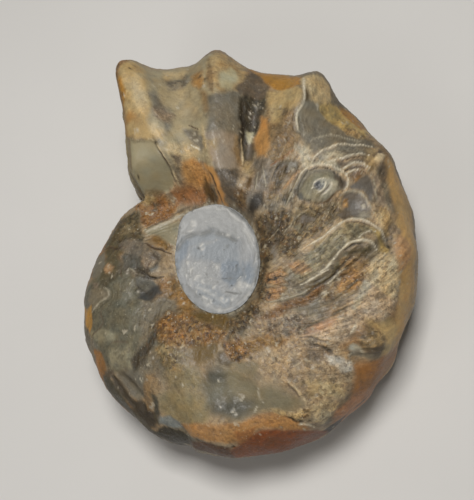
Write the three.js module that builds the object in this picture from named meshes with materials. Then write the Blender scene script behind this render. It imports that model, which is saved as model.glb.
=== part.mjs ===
// An ammonite fossil lying on its flank: the stone cast of a coiled, ribbed shell, and the pale
// plug of filler that sits in the hollow at the middle of its coil.
//
// Units are millimetres and degrees. The coil axis is vertical and the shell grows anticlockwise
// seen from above. "Turn" is the angle run along the coil: the last whorl comes out from under its
// own broken end at turn 149 and ends there, nearly a full circle later.
//
// Both pieces are grids of rings round the coil axis, closed by a point at each end, so each one
// is a single closed surface. The fossil's rings run from the floor of the upper hollow, over the
// upper flank, round the outer rim and back under the lower flank to the hollow underneath.

import * as THREE from "three";

// ---- Driving dimensions -----------------------------------------------------------------------

const MIDDLE_HEIGHT = 38; // the whorl's middle plane above the table
const SPOKES = 112; // points in each ring of the fossil
const PLUG_SPOKES = 56;

// Radius of the outer rim, every 30 degrees of turn from 120.
const RIM_START = 120;
const RIM_STEP = 30;
const RIM_RADII = [51, 58, 66.5, 76, 84.5, 89, 91, 90.5, 91.2, 94.5, 99, 102, 109, 118];

// Half thickness above and below the middle plane, at the start and the end of the last whorl.
// The lower side fills out sooner, so that the fossil has a wide, steady bed.
const TURN_START = 150;
const TURN_END = 476;
const RISE = { start: 20, end: 39, haste: 1 };
const SAG = { start: 33, end: 43, haste: 2 };

// The section of the whorl is a superellipse, squarer where the whorl is broken across.
const FLANK_POWER = 6.5;
const RIM_POWER = 2.1;
const BREAK_FLANK_POWER = 16;
const BREAK_RIM_POWER = 5;

// The broken end is an upright face, x = BREAK_X + BREAK_SLOPE * y, swollen by its last tubercle.
const BREAK_X = -37.5;
const BREAK_SLOPE = -0.11;
const BREAK_SWELLING = { angle: 116, width: 4, share: 0.03 };
const CORNER_ROUNDING = 4;

// The seam where the last whorl laps over the one before it.
const SEAM_FROM = 93;
const SEAM_TO = 149;
const SEAM_RADIUS = 26.5;
const SEAM_SPREAD = 19.5;
const SEAM_BEND = 2;
const OLD_RIM_FROM = 138; // where the broken end stops hiding the old whorl's rim

// Distance in which the flank rises to its full height, out from the hollow or from the seam.
const HOLLOW_SHOULDER = 15;
const SEAM_SHOULDER = 24;

// The oval hollow at the middle of the coil and the plug in it.
const PLUG_RADIUS_X = 20;
const PLUG_RADIUS_Y = 26.3;
const PLUG_HEIGHT = 60.5; // at the coil axis
const PLUG_TILT_X = 0.15; // rise per millimetre along X and along Y
const PLUG_TILT_Y = -0.05;
const PLUG_DISH = 1.2;
const HOLLOW_DEPTH = 8;
const HOLLOW_FLOOR_SHARE = 0.8;
const FIT_GAP = 0.3;

// The open hollow under the fossil.
const UNDER_RADIUS = 22;
const UNDER_LIP = 7;
const UNDER_DEPTH = 13;

// One rib and one tubercle at each of these turns: its height on the flank, and at the shoulder.
const RIBS = [
  { turn: 272, rib: 0.4, tubercle: 2.0 },
  { turn: 300, rib: 0.6, tubercle: 2.6 },
  { turn: 330, rib: 0.8, tubercle: 3.0 },
  { turn: 360, rib: 1.2, tubercle: 3.4 },
  { turn: 389, rib: 2.0, tubercle: 3.6 },
  { turn: 420.5, rib: 4.2, tubercle: 5.2 },
  { turn: 450, rib: 5.0, tubercle: 5.0 },
  { turn: 475, rib: 4.2, tubercle: 4.0 },
];
const RIB_WIDTH = 8; // degrees
const RIB_SWEEP = 5; // degrees by which a rib's inner end lags
const TUBERCLE_WIDTH = 5; // degrees
const TUBERCLE_TILT = 50; // how far its middle leans out from the flank
const TUBERCLE_SPREAD = 24;

// The outermost layer is lost from this stretch of the rim, and ends at a ledge.
const LOST_LAYER = { from: 205, to: 262, depth: 1.6 };

// Lumps and hollows of the upper flank: centre, half widths, turn of the long axis, and lift.
const RELIEF = [
  { name: "deep groove between two ribs", x: 18, y: 58, long: 24, wide: 5.5, turn: 82, lift: -5.5 },
  { name: "shallow groove before the end", x: -17, y: 62, long: 26, wide: 8, turn: 100, lift: -2.5 },
  { name: "groove behind the third rib", x: 30, y: 66, long: 18, wide: 5, turn: 70, lift: -1.5 },
  { name: "chip in the broken end", x: -31, y: 41, long: 13, wide: 8, turn: 105, lift: -1.6 },
  { name: "oval chamber", x: 50, y: 29, long: 12, wide: 8, turn: 22, lift: 2.2 },
  { name: "trough round the oval chamber", x: 62, y: 33, long: 6, wide: 4, turn: 60, lift: -1.4 },
  { name: "dark chamber", x: 64, y: 19, long: 8, wide: 7, turn: 0, lift: -1.2 },
  { name: "outer crescent", x: 62, y: 2, long: 15, wide: 6, turn: 25, lift: 2.0 },
  { name: "valley under the crescents", x: 55, y: -17, long: 17, wide: 5, turn: 33, lift: -2.0 },
  { name: "pit inside the rim", x: 77, y: 3, long: 4, wide: 3.5, turn: 90, lift: -3.2 },
  { name: "worn lump at the rim", x: 69, y: -41, long: 5, wide: 4, turn: 0, lift: 2.4 },
  { name: "moat round the worn lump", x: 62, y: -45, long: 8, wide: 4, turn: 120, lift: -2.4 },
  { name: "cavity left of the plug", x: -34, y: -13, long: 8, wide: 3.5, turn: 35, lift: -2.8 },
  { name: "lump left of the plug", x: -33, y: 4, long: 7, wide: 6, turn: 0, lift: 1.8 },
  { name: "notch in the old whorl", x: -50, y: 12, long: 7, wide: 4, turn: 60, lift: -3.0 },
  { name: "furrow inside the lower rim", x: -42, y: -61, long: 17, wide: 3.6, turn: 133, lift: -3.4 },
  { name: "bare lower flank", x: 20, y: -62, long: 22, wide: 11, turn: 5, lift: -1.4 },
  { name: "hump of the lower flank", x: -12, y: -48, long: 18, wide: 14, turn: 0, lift: 1.5 },
];

// Slow waves that keep the stone from looking turned: wave vector, shift and height.
const WAVES = [
  { x: 0.11, y: 0.05, z: 0.09, shift: 0.4, height: 0.5 },
  { x: -0.07, y: 0.13, z: 0.05, shift: 2.1, height: 0.45 },
  { x: 0.19, y: -0.12, z: 0.15, shift: 4.0, height: 0.3 },
  { x: -0.21, y: -0.17, z: 0.11, shift: 1.2, height: 0.28 },
  { x: 0.05, y: 0.31, z: -0.2, shift: 5.2, height: 0.22 },
  { x: 0.33, y: 0.09, z: 0.24, shift: 3.3, height: 0.18 },
];

// Rings of each side: across the flank, then round to the rim. The ring that follows the broken
// end across the flank is the ledge.
const UPPER = { sign: 1, depth: RISE, flankRings: 17, rimRings: 6, ledgeRing: 13 };
const LOWER = { sign: -1, depth: SAG, flankRings: 7, rimRings: 5, ledgeRing: 5 };
const RIM_TILT = 45; // where the flank's rings end and the rim's begin
const LEDGE_MARGIN = 1.2;
const HOLLOW_SHARES = [0.4, HOLLOW_FLOOR_SHARE, 0.94];
const UNDER_SHARES = [0.75, 0.4];

// ---- Small helpers ----------------------------------------------------------------------------

const radians = THREE.MathUtils.degToRad;
const degrees = THREE.MathUtils.radToDeg;
const clamp01 = (value) => Math.min(1, Math.max(0, value));
const mix = (a, b, share) => a + (b - a) * share;
const bell = (value) => Math.exp(-value * value);

function smooth(from, to, value) {
  const share = clamp01((value - from) / (to - from));
  return share * share * (3 - 2 * share);
}

// The smaller of two numbers, rounded where they are nearly equal.
function softMin(a, b, rounding) {
  return Math.min(a, b) - rounding * Math.log(1 + Math.exp(-Math.abs(a - b) / rounding));
}

// A smooth curve through evenly spaced values.
function through(values, position) {
  const last = values.length - 1;
  const i = Math.min(last - 1, Math.max(0, Math.floor(position)));
  const at = (k) => values[Math.min(last, Math.max(0, k))];
  const [a, b, c, d] = [at(i - 1), at(i), at(i + 1), at(i + 2)];
  const s = position - i;
  return b + 0.5 * s * (c - a + s * (2 * a - 5 * b + 4 * c - d + s * (3 * (b - c) + d - a)));
}

// ---- The plan of the fossil -------------------------------------------------------------------

const rimRadius = (turn) => through(RIM_RADII, (turn - RIM_START) / RIM_STEP);
const grown = (turn) => Math.min(1, (turn - TURN_START) / (TURN_END - TURN_START));

// Distance from the axis to the broken end, along a spoke that meets it.
function breakRadius(angle) {
  const toward = Math.cos(radians(angle)) - BREAK_SLOPE * Math.sin(radians(angle));
  const swollen = bell((angle - BREAK_SWELLING.angle) / BREAK_SWELLING.width);
  return toward < -0.05 ? ((1 + BREAK_SWELLING.share * swollen) * BREAK_X) / toward : 600;
}

// Radius of the fossil's outline. The old whorl's rim shows past the inner part of the break.
function outlineRadius(angle, turn, broken) {
  if (angle > SEAM_TO || angle < SEAM_FROM) return rimRadius(turn);
  if (angle > OLD_RIM_FROM) return rimRadius(angle);
  return softMin(rimRadius(turn), broken, CORNER_ROUNDING);
}

// Everything that depends on the spoke alone. The angle runs from 0 to 360. Between SEAM_FROM and
// SEAM_TO two whorls share the spoke: the last one, and the old one it laps over.
function spoke(angle) {
  const turn = angle < SEAM_TO ? angle + 360 : angle;
  const broken = breakRadius(angle);
  const squarer = smooth(108, 120, angle) * (1 - smooth(132, 140, angle));
  const cos = Math.cos(radians(angle));
  const sin = Math.sin(radians(angle));
  return {
    angle,
    turn,
    cos,
    sin,
    broken,
    squarer,
    rim: outlineRadius(angle, turn, broken),
    wholeRim: rimRadius(turn),
    overlapped: angle > SEAM_FROM && angle < SEAM_TO,
    pastLedge: angle > OLD_RIM_FROM && angle < SEAM_TO,
    ledged: smooth(100, 122, angle) * (1 - smooth(SEAM_TO, SEAM_TO + 20, angle)),
    gentle: smooth(SEAM_FROM - 8, SEAM_FROM + 10, angle) * (1 - smooth(SEAM_TO, SEAM_TO + 16, angle)),
    growth: grown(turn),
    oldGrowth: grown(angle),
    flankPower: mix(FLANK_POWER, BREAK_FLANK_POWER, squarer),
    rimPower: mix(RIM_POWER, BREAK_RIM_POWER, squarer),
    plug: 1 / Math.hypot(cos / PLUG_RADIUS_X, sin / PLUG_RADIUS_Y),
  };
}

const plugTop = (x, y) => PLUG_HEIGHT + PLUG_TILT_X * x + PLUG_TILT_Y * y;

function seamRadius(s, inner) {
  const along = clamp01((s.angle - SEAM_FROM) / (SEAM_TO - SEAM_FROM));
  return Math.max(inner + 0.6, SEAM_RADIUS + SEAM_SPREAD * Math.pow(along, SEAM_BEND));
}

// ---- Relief -----------------------------------------------------------------------------------

function ribLift(s, radius) {
  const share = radius / s.wholeRim;
  const reach = smooth(0.3, 0.6, share) * (1 - smooth(0.94, 1, share)) * (0.45 + 0.55 * share);
  const lag = RIB_SWEEP * (1 - share);
  let lift = 0;
  for (const { turn, rib } of RIBS) lift += rib * bell((s.turn - turn + lag) / RIB_WIDTH);
  return lift * reach;
}

function tubercleLift(s, tilt) {
  let lift = 0;
  for (const { turn, tubercle } of RIBS) lift += tubercle * bell((s.turn - turn) / TUBERCLE_WIDTH);
  return lift * bell((tilt - TUBERCLE_TILT) / TUBERCLE_SPREAD);
}

function reliefLift(x, y) {
  let lift = 0;
  for (const mark of RELIEF) {
    const cos = Math.cos(radians(mark.turn));
    const sin = Math.sin(radians(mark.turn));
    const along = (x - mark.x) * cos + (y - mark.y) * sin;
    const across = (y - mark.y) * cos - (x - mark.x) * sin;
    lift += mark.lift * bell(Math.hypot(along / mark.long, across / mark.wide));
  }
  return lift;
}

function lostLayerLift(s, tilt) {
  const { from, to, depth } = LOST_LAYER;
  return -depth * smooth(from, from + 18, s.turn) * (1 - smooth(to - 3, to, s.turn)) * smooth(22, 40, tilt);
}

function waveLift(x, y, z) {
  let lift = 0;
  for (const w of WAVES) lift += w.height * Math.sin(w.x * x + w.y * y + w.z * z + w.shift);
  return lift;
}

// ---- The section ------------------------------------------------------------------------------

// Superellipse: radius over the rim's is sin to the 2 / flank power of the tilt, height is cos to
// the 2 / rim power. Tilt 0 looks up from the flank and tilt 90 looks out from the rim.
const radiusAt = (s, tilt) => s.rim * Math.pow(Math.sin(radians(tilt)), 2 / s.flankPower);
const tiltAt = (s, radius) => degrees(Math.asin(Math.pow(radius / s.rim, s.flankPower / 2)));
const heightAt = (s, tilt) => Math.pow(Math.max(0, Math.cos(radians(tilt))), 2 / s.rimPower);

// Radius of one of the flank's rings on one spoke. The rings are evenly spaced on either side of
// the ledge ring, which slides out or in to follow the broken end.
function flankRadius(s, side, inner, ring) {
  const outer = radiusAt(s, RIM_TILT);
  const even = side.ledgeRing / side.flankRings;
  const wanted = clamp01((Math.min(s.broken, outer - LEDGE_MARGIN) - inner) / (outer - inner));
  const ledge = mix(even, wanted, s.ledged);
  if (ring <= side.ledgeRing) return mix(inner, outer, (ledge * ring) / side.ledgeRing);
  const after = mix(ledge, 1, (ring - side.ledgeRing) / (side.flankRings - side.ledgeRing));
  const foot = s.pastLedge && ring === side.ledgeRing + 1;
  return mix(inner, outer, foot ? mix(ledge, after, 0.3) : after);
}

function flankHeight(s, side, tilt, growth) {
  const filled = 1 - Math.pow(1 - growth, side.depth.haste);
  return MIDDLE_HEIGHT + side.sign * mix(side.depth.start, side.depth.end, filled) * heightAt(s, tilt);
}

// How far the flank has risen at a distance out from its inner edge. It springs up steeply from
// the hollow, and leaves the seam gently.
function shoulder(s, out) {
  const steep = 1 - Math.pow(1 - clamp01(out / HOLLOW_SHOULDER), 3);
  return mix(steep, smooth(0, SEAM_SHOULDER, out), s.gentle);
}

// One point of one side. Ring 0 is at the hollow, and the last one is on the middle plane.
function sidePoint(s, side, ring) {
  const upper = side.sign > 0;
  const inner = upper ? s.plug : UNDER_RADIUS;
  const onFlank = ring <= side.flankRings;
  const rimTilt = mix(RIM_TILT, 90, (ring - side.flankRings) / side.rimRings);
  const radius = onFlank ? flankRadius(s, side, inner, ring) : radiusAt(s, rimTilt);
  const tilt = onFlank ? tiltAt(s, radius) : rimTilt;
  const [x, y] = [radius * s.cos, radius * s.sin];

  // The old whorl's flank rises from the hollow, and the last whorl's rises from the seam on it.
  const old = flankHeight(s, side, tilt, s.oldGrowth);
  const last = flankHeight(s, side, tilt, s.growth);
  const lip = upper ? plugTop(x, y) : UNDER_LIP;
  const seam = s.overlapped ? seamRadius(s, inner) : inner;
  const under = s.overlapped ? mix(lip, old, shoulder(s, radius - inner)) : lip;
  const hidden = s.pastLedge && ring > side.ledgeRing;
  const height = hidden ? under : mix(under, last, shoulder(s, radius - seam));
  const whorl = hidden ? 0 : smooth(-0.5, 2.5, radius - seam);

  const clear = smooth(0, 8, radius - inner);
  const marks = upper ? reliefLift(x, y) : 0;
  const ribs = whorl * (clear * ribLift(s, radius) + tubercleLift(s, tilt));
  const lift = ribs + clear * (marks + waveLift(x, y, height)) + lostLayerLift(s, tilt);
  const outward = lift * Math.sin(radians(tilt)) * (1 - 0.7 * s.squarer);
  const z = height + side.sign * lift * Math.cos(radians(tilt));
  return [(radius + outward) * s.cos, (radius + outward) * s.sin, Math.max(0, z)];
}

// ---- Closed grids -----------------------------------------------------------------------------

// Spokes stand closer together across the broken end and its corner.
function spokeAngle(share) {
  const even = 360 * share;
  return even - 14 * Math.sin(radians(even - 132)) * bell((even - 132) / 60);
}

const spokesOf = (count) => Array.from({ length: count }, (_, i) => spoke(spokeAngle(i / count)));

// A closed surface from rings of points, the first ring innermost on top, and a point at each end.
function closedGrid(first, rings, last) {
  const count = rings[0].length;
  const positions = [...first, ...rings.flat(2), ...last];
  const lastIndex = positions.length / 3 - 1;
  const at = (ring, i) => 1 + ring * count + (i % count);
  const faces = [];
  for (let i = 0; i < count; i++) {
    faces.push(0, at(0, i), at(0, i + 1));
    for (let ring = 0; ring < rings.length - 1; ring++) {
      const [a, b] = [at(ring, i), at(ring, i + 1)];
      const [c, d] = [at(ring + 1, i), at(ring + 1, i + 1)];
      faces.push(a, c, d, a, d, b);
    }
    faces.push(lastIndex, at(rings.length - 1, i + 1), at(rings.length - 1, i));
  }
  const geometry = new THREE.BufferGeometry();
  geometry.setAttribute("position", new THREE.Float32BufferAttribute(positions, 3));
  geometry.setIndex(faces);
  geometry.computeVertexNormals();
  return geometry;
}

// A ring at a share of the plug's outline, drawn in by a gap and let down by a depth.
function plugRing(spokes, share, gap, depth) {
  return spokes.map((s) => {
    const radius = s.plug * share - gap;
    const [x, y] = [radius * s.cos, radius * s.sin];
    return [x, y, plugTop(x, y) - depth];
  });
}

// ---- The fossil -------------------------------------------------------------------------------

function fossilGeometry() {
  const spokes = spokesOf(SPOKES);
  const rings = [
    plugRing(spokes, HOLLOW_SHARES[0], 0, HOLLOW_DEPTH + 0.5),
    plugRing(spokes, HOLLOW_SHARES[1], 0, HOLLOW_DEPTH),
    plugRing(spokes, HOLLOW_SHARES[2], 0, HOLLOW_DEPTH * 0.4),
  ];
  for (let ring = 0; ring <= UPPER.flankRings + UPPER.rimRings; ring++) {
    rings.push(spokes.map((s) => sidePoint(s, UPPER, ring)));
  }
  for (let ring = LOWER.flankRings + LOWER.rimRings - 1; ring >= 0; ring--) {
    rings.push(spokes.map((s) => sidePoint(s, LOWER, ring)));
  }
  for (const share of UNDER_SHARES) {
    const height = UNDER_LIP + (UNDER_DEPTH - UNDER_LIP) * (1 - share * share);
    rings.push(spokes.map((s) => [UNDER_RADIUS * share * s.cos, UNDER_RADIUS * share * s.sin, height]));
  }
  const floor = [0, 0, plugTop(0, 0) - HOLLOW_DEPTH - 0.7];
  return closedGrid(floor, rings, [0, 0, UNDER_DEPTH]);
}

// ---- The plug ---------------------------------------------------------------------------------

function plugGeometry() {
  const spokes = spokesOf(PLUG_SPOKES);
  const dish = (share) => PLUG_DISH * (1 - share * share);
  const rings = [
    plugRing(spokes, 0.3, 0, dish(0.3)),
    plugRing(spokes, 0.6, 0, dish(0.6)),
    plugRing(spokes, 0.85, 0, dish(0.85)),
    plugRing(spokes, 1, FIT_GAP, 0),
    plugRing(spokes, HOLLOW_SHARES[2], FIT_GAP, HOLLOW_DEPTH * 0.4),
    plugRing(spokes, HOLLOW_SHARES[1], FIT_GAP, HOLLOW_DEPTH - FIT_GAP),
  ];
  const top = [0, 0, plugTop(0, 0) - PLUG_DISH];
  const bottom = [0, 0, plugTop(0, 0) - HOLLOW_DEPTH + FIT_GAP];
  return closedGrid(top, rings, bottom);
}

// ---- The part ---------------------------------------------------------------------------------

const stone = new THREE.MeshStandardMaterial({ color: 0x8c7b5c, roughness: 0.5, metalness: 0 });
const filler = new THREE.MeshStandardMaterial({ color: 0xa9adb0, roughness: 0.75, metalness: 0 });

const fossil = new THREE.Mesh(fossilGeometry(), stone);
fossil.name = "ammonite";
const plug = new THREE.Mesh(plugGeometry(), filler);
plug.name = "umbilicus_plug";

// The origin is on the table, under the middle of the fossil's outline.
const part = new THREE.Group();
part.add(fossil, plug);
const bounds = new THREE.Box3().setFromObject(fossil);
const middle = bounds.getCenter(new THREE.Vector3());
fossil.position.set(-middle.x, -middle.y, 0);
plug.position.copy(fossil.position);

export default part;
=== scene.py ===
# %% [markdown]
# # An ammonite fossil with a filled umbilicus
#
# An ammonite is the coiled shell of a sea animal, turned to stone. Mud filled the shell, the shell
# itself mostly dissolved, and what is left is a stone cast: ribs and tubercles outside, and on the
# worn flank the pale folded seams that divided the animal's chambers. The hole at the middle of
# the coil, the umbilicus, is filled with a pale grey putty, smeared flush by hand.
#
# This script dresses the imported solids. It has two pieces, the stone and the plug of filler, and
# each one is a single closed surface worked out with numpy.

# %% Load the frame
import math

import bpy
import numpy as np
from mathutils import Matrix, Vector


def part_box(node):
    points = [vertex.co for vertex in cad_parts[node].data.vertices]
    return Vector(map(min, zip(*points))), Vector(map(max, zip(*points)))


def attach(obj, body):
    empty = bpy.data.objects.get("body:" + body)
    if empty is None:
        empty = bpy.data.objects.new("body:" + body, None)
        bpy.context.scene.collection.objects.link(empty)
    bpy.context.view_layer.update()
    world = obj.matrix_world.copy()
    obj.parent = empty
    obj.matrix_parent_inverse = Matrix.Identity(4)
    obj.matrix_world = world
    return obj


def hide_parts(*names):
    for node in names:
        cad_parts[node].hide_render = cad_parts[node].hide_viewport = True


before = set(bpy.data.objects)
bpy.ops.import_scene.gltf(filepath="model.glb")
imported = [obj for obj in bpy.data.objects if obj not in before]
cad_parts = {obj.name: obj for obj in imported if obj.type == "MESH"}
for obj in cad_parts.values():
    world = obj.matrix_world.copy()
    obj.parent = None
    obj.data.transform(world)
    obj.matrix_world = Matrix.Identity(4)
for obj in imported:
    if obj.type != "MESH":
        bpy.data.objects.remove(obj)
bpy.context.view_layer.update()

# %% [markdown]
# ## Where the coil turns
#
# Everything on a shell is placed by its turn round the coil axis and its distance from it, so the
# lesson works in millimetres from that axis and moves to the frame only at the end. The plug is an
# oval that is centred on the axis, so the middle of its box is the axis.

# %% Find the coil axis
MM = 0.001
plug_low, plug_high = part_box("umbilicus_plug")
AXIS = np.array([(plug_low.x + plug_high.x) / 2, (plug_low.y + plug_high.y) / 2, 0.0])
print("coil axis at", AXIS / MM, "mm")


# %% [markdown]
# ## Small curves that shape everything
#
# A rock's forms are soft at their edges. Four small curves do most of the work: a smooth step, a
# bell, a blend between two values, and a smooth line through a few measured ones. All of them take
# whole arrays, so one call shapes every point of the surface.

# %% Define the small curves
def smooth(low, high, value):
    """3 s squared less 2 s cubed, where s is how far value is from low to high, held to 0..1."""
    share = np.clip((value - low) / (high - low), 0.0, 1.0)
    return share * share * (3.0 - 2.0 * share)


def bell(value):
    """e to the minus value squared: 1 at zero, and near nothing beyond two."""
    return np.exp(-value * value)


def mix(a, b, share):
    """a, plus the given share of the way to b."""
    return a + (b - a) * share


def through(values, position):
    """A Catmull-Rom curve through evenly spaced values, read at a position counted in steps."""
    table = np.asarray(values, float)
    last = len(table) - 1
    i = np.clip(np.floor(position), 0, last - 1).astype(int)
    a, b, c, d = (table[np.clip(i + k, 0, last)] for k in (-1, 0, 1, 2))
    s = position - i
    return b + 0.5 * s * (c - a + s * (2 * a - 5 * b + 4 * c - d + s * (3 * (b - c) + d - a)))


print("smooth(0, 1, 0.25) is", smooth(0, 1, 0.25))

# %% [markdown]
# ## The plan of the shell
#
# Seen from above, the outline is a spiral that widens as the animal grew: the table gives the
# rim's radius every 30 degrees of turn. The last whorl ends at a break, an upright face, and laps
# over the start of the same whorl one turn earlier, so between 93 and 149 degrees a spoke from the
# axis crosses two whorls. A spoke's own values are worked out once, as arrays over all the spokes.

# %% Define the plan
RIM_RADII = [51, 58, 66.5, 76, 84.5, 89, 91, 90.5, 91.2, 94.5, 99, 102, 109, 118]
RIM_START, RIM_STEP = 120, 30
TURN_START, TURN_END = 150, 476
BREAK_X, BREAK_SLOPE = -37.5, -0.11
SEAM_FROM, SEAM_TO, OLD_RIM_FROM = 93, 149, 138
PLUG_RADIUS_X, PLUG_RADIUS_Y = 20.0, 26.3
PLUG_TILT, PLUG_CORNERS = 11, [(128, 15, 2.8), (305, 26, 0.6)]  # turn, width, reach
FLANK_POWER, BREAK_FLANK_POWER = 6.5, 16.0
RIM_POWER, BREAK_RIM_POWER = 2.1, 5.0


def rim_radius(turn):
    """The table of rim radii, read as a smooth curve at a turn in degrees."""
    return through(RIM_RADII, (turn - RIM_START) / RIM_STEP)


def grown(turn):
    """How much of the last whorl has grown, from 0 at its start to 1 near the break."""
    return np.minimum(1.0, (turn - TURN_START) / (TURN_END - TURN_START))


def spoke_angles(count):
    """Evenly spaced angles, pulled together by a sine times a bell round the broken end."""
    even = 360.0 * np.arange(count) / count
    return even - 14 * np.sin(np.radians(even - 132)) * bell((even - 132) / 60)


def make_spokes(angle):
    """Every value that depends on the spoke alone, as arrays with one entry for each spoke."""
    s = {"angle": angle, "cos": np.cos(np.radians(angle)), "sin": np.sin(np.radians(angle))}
    s["turn"] = np.where(angle < SEAM_TO, angle + 360, angle)
    toward = s["cos"] - BREAK_SLOPE * s["sin"]
    swollen = 1 + 0.03 * bell((angle - 116) / 4)
    s["broken"] = np.where(toward < -0.05, swollen * BREAK_X / np.minimum(toward, -0.05), 600.0)
    s["whole_rim"] = rim_radius(s["turn"])
    rounded = np.minimum(s["whole_rim"], s["broken"]) - 4 * np.log1p(
        np.exp(-np.abs(s["whole_rim"] - s["broken"]) / 4)
    )
    s["past_ledge"] = (angle > OLD_RIM_FROM) & (angle < SEAM_TO)
    s["overlapped"] = (angle > SEAM_FROM) & (angle < SEAM_TO)
    s["rim"] = np.where(s["overlapped"], rounded, s["whole_rim"])
    s["rim"] = np.where(s["past_ledge"], rim_radius(angle), s["rim"])
    s["squarer"] = smooth(108, 120, angle) * (1 - smooth(132, 140, angle))
    s["ledged"] = smooth(100, 122, angle) * (1 - smooth(149, 169, angle))
    s["gentle"] = smooth(85, 103, angle) * (1 - smooth(149, 165, angle))
    s["growth"], s["old_growth"] = grown(s["turn"]), grown(angle)
    s["flank_power"] = mix(FLANK_POWER, BREAK_FLANK_POWER, s["squarer"])
    s["rim_power"] = mix(RIM_POWER, BREAK_RIM_POWER, s["squarer"])
    tilted = np.radians(angle - PLUG_TILT)
    oval = 1 / np.hypot(np.cos(tilted) / PLUG_RADIUS_X, np.sin(tilted) / PLUG_RADIUS_Y)
    s["plug"] = oval + sum(reach * bell((angle - turn) / wide) for turn, wide, reach in PLUG_CORNERS)
    return s


SPOKES = make_spokes(spoke_angles(672))
print("rim from", SPOKES["rim"].min().round(1), "to", SPOKES["rim"].max().round(1), "mm")

# %% [markdown]
# ## Ribs and tubercles
#
# The shell was stiffened by ribs that run out from the umbilicus, each ending in a blunt tubercle
# at the shoulder. They are strong on the young part near the break and fade along the whorl. Each
# one is a bell across the turn: a rib's bell lags towards the axis, and a tubercle has a second
# bell round the section. Their places are a short table, because no two are alike.

# %% Define the ribs
RIBS = [  # turn, height of the rib on the flank, height of the tubercle, in degrees and mm
    (272, 0.4, 2.0),
    (300, 0.6, 2.6),
    (330, 0.8, 3.0),
    (360, 1.2, 3.4),
    (389, 2.0, 3.6),
    (420.5, 4.2, 5.2),
    (450, 5.0, 5.0),
    (475, 4.2, 4.0),
]
RIB_WIDTH, RIB_SWEEP = 8, 5
TUBERCLE_WIDTH, TUBERCLE_TILT, TUBERCLE_SPREAD = 5, 50, 24


def rib_lift(s, radius):
    """The sum of the ribs' bells, over the middle part of the flank."""
    share = radius / s["whole_rim"]
    reach = smooth(0.3, 0.6, share) * (1 - smooth(0.94, 1, share)) * (0.45 + 0.55 * share)
    lag = RIB_SWEEP * (1 - share)
    return reach * sum(rib * bell((s["turn"] - turn + lag) / RIB_WIDTH) for turn, rib, _ in RIBS)


def tubercle_lift(s, tilt):
    """The sum of the tubercles' bells along the turn, times one bell over the section's tilt."""
    along = sum(high * bell((s["turn"] - turn) / TUBERCLE_WIDTH) for turn, _, high in RIBS)
    return along * bell((tilt - TUBERCLE_TILT) / TUBERCLE_SPREAD)


print(len(RIBS), "ribs, the tallest", max(rib for _, rib, _ in RIBS), "mm")

# %% [markdown]
# ## Lumps, hollows and slow waves
#
# Where the cast is chipped or worn, single lumps and hollows stand on the flank. Each is a bell
# over an oval: its middle, half length, half width, the turn of its long axis and its lift. A few
# slow sine waves keep the rest from looking turned on a lathe.

# %% Define the large relief
RELIEF = [  # what it is, x, y, half length, half width, turn in degrees, lift
    ("deep groove between two ribs", 18, 58, 24, 5.5, 82, -5.5),
    ("shallow groove before the end", -17, 62, 26, 8, 100, -2.5),
    ("groove behind the third rib", 30, 66, 18, 5, 70, -1.5),
    ("chip in the broken end", -31, 41, 13, 8, 105, -1.6),
    ("oval chamber", 50, 29, 12, 8, 22, 2.2),
    ("trough round the oval chamber", 62, 33, 6, 4, 60, -1.4),
    ("dark chamber", 64, 19, 8, 7, 0, -1.2),
    ("outer crescent", 62, 2, 15, 6, 25, 2.0),
    ("valley under the crescents", 55, -17, 17, 5, 33, -2.0),
    ("pit inside the rim", 77, 3, 4, 3.5, 90, -3.2),
    ("worn lump at the rim", 69, -41, 5, 4, 0, 2.4),
    ("moat round the worn lump", 62, -45, 8, 4, 120, -2.4),
    ("cavity left of the plug", -34, -13, 8, 3.5, 35, -2.8),
    ("lump left of the plug", -33, 4, 7, 6, 0, 1.8),
    ("notch in the old whorl", -50, 12, 7, 4, 60, -3.0),
    ("furrow inside the lower rim", -42, -61, 17, 3.6, 133, -3.4),
    ("bare lower flank", 20, -62, 22, 11, 5, -1.4),
    ("hump of the lower flank", -12, -48, 18, 14, 0, 1.5),
]
WAVES = [  # wave vector x, y, z, shift, height
    (0.11, 0.05, 0.09, 0.4, 0.5),
    (-0.07, 0.13, 0.05, 2.1, 0.45),
    (0.19, -0.12, 0.15, 4.0, 0.3),
    (-0.21, -0.17, 0.11, 1.2, 0.28),
    (0.05, 0.31, -0.2, 5.2, 0.22),
    (0.33, 0.09, 0.24, 3.3, 0.18),
]


def oval_distance(x, y, middle_x, middle_y, long, wide, turn):
    """Distance from an oval's middle, in units of its own half length and half width."""
    cos, sin = math.cos(math.radians(turn)), math.sin(math.radians(turn))
    along = (x - middle_x) * cos + (y - middle_y) * sin
    across = (y - middle_y) * cos - (x - middle_x) * sin
    return np.hypot(along / long, across / wide)


def relief_lift(x, y):
    """The sum of the marks' lifts, each times a bell over its oval distance."""
    return sum(lift * bell(oval_distance(x, y, *oval)) for _, *oval, lift in RELIEF)


def wave_lift(x, y, z):
    """The sum of a few sine waves through space."""
    return sum(h * np.sin(a * x + b * y + c * z + shift) for a, b, c, shift, h in WAVES)


print(len(RELIEF), "lumps and hollows,", len(WAVES), "waves")

# %% [markdown]
# ## The section of the whorl
#
# Cut across, the whorl is a superellipse: the radius goes with the sine of a tilt angle raised to
# 2 over one power, and the height with its cosine raised to 2 over another. Tilt 0 looks up from
# the flank and 90 looks out from the rim. Each side of the fossil is a grid of rings times spokes.
# One ring, the ledge, follows the broken end across the flank, so the break stays a sharp edge.
#
# Beside each point the grid keeps a "spread" radius, the distance walked out over the crown and
# down the rim. It lays the whole curved surface out flat, which is where the marks are drawn.

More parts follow.
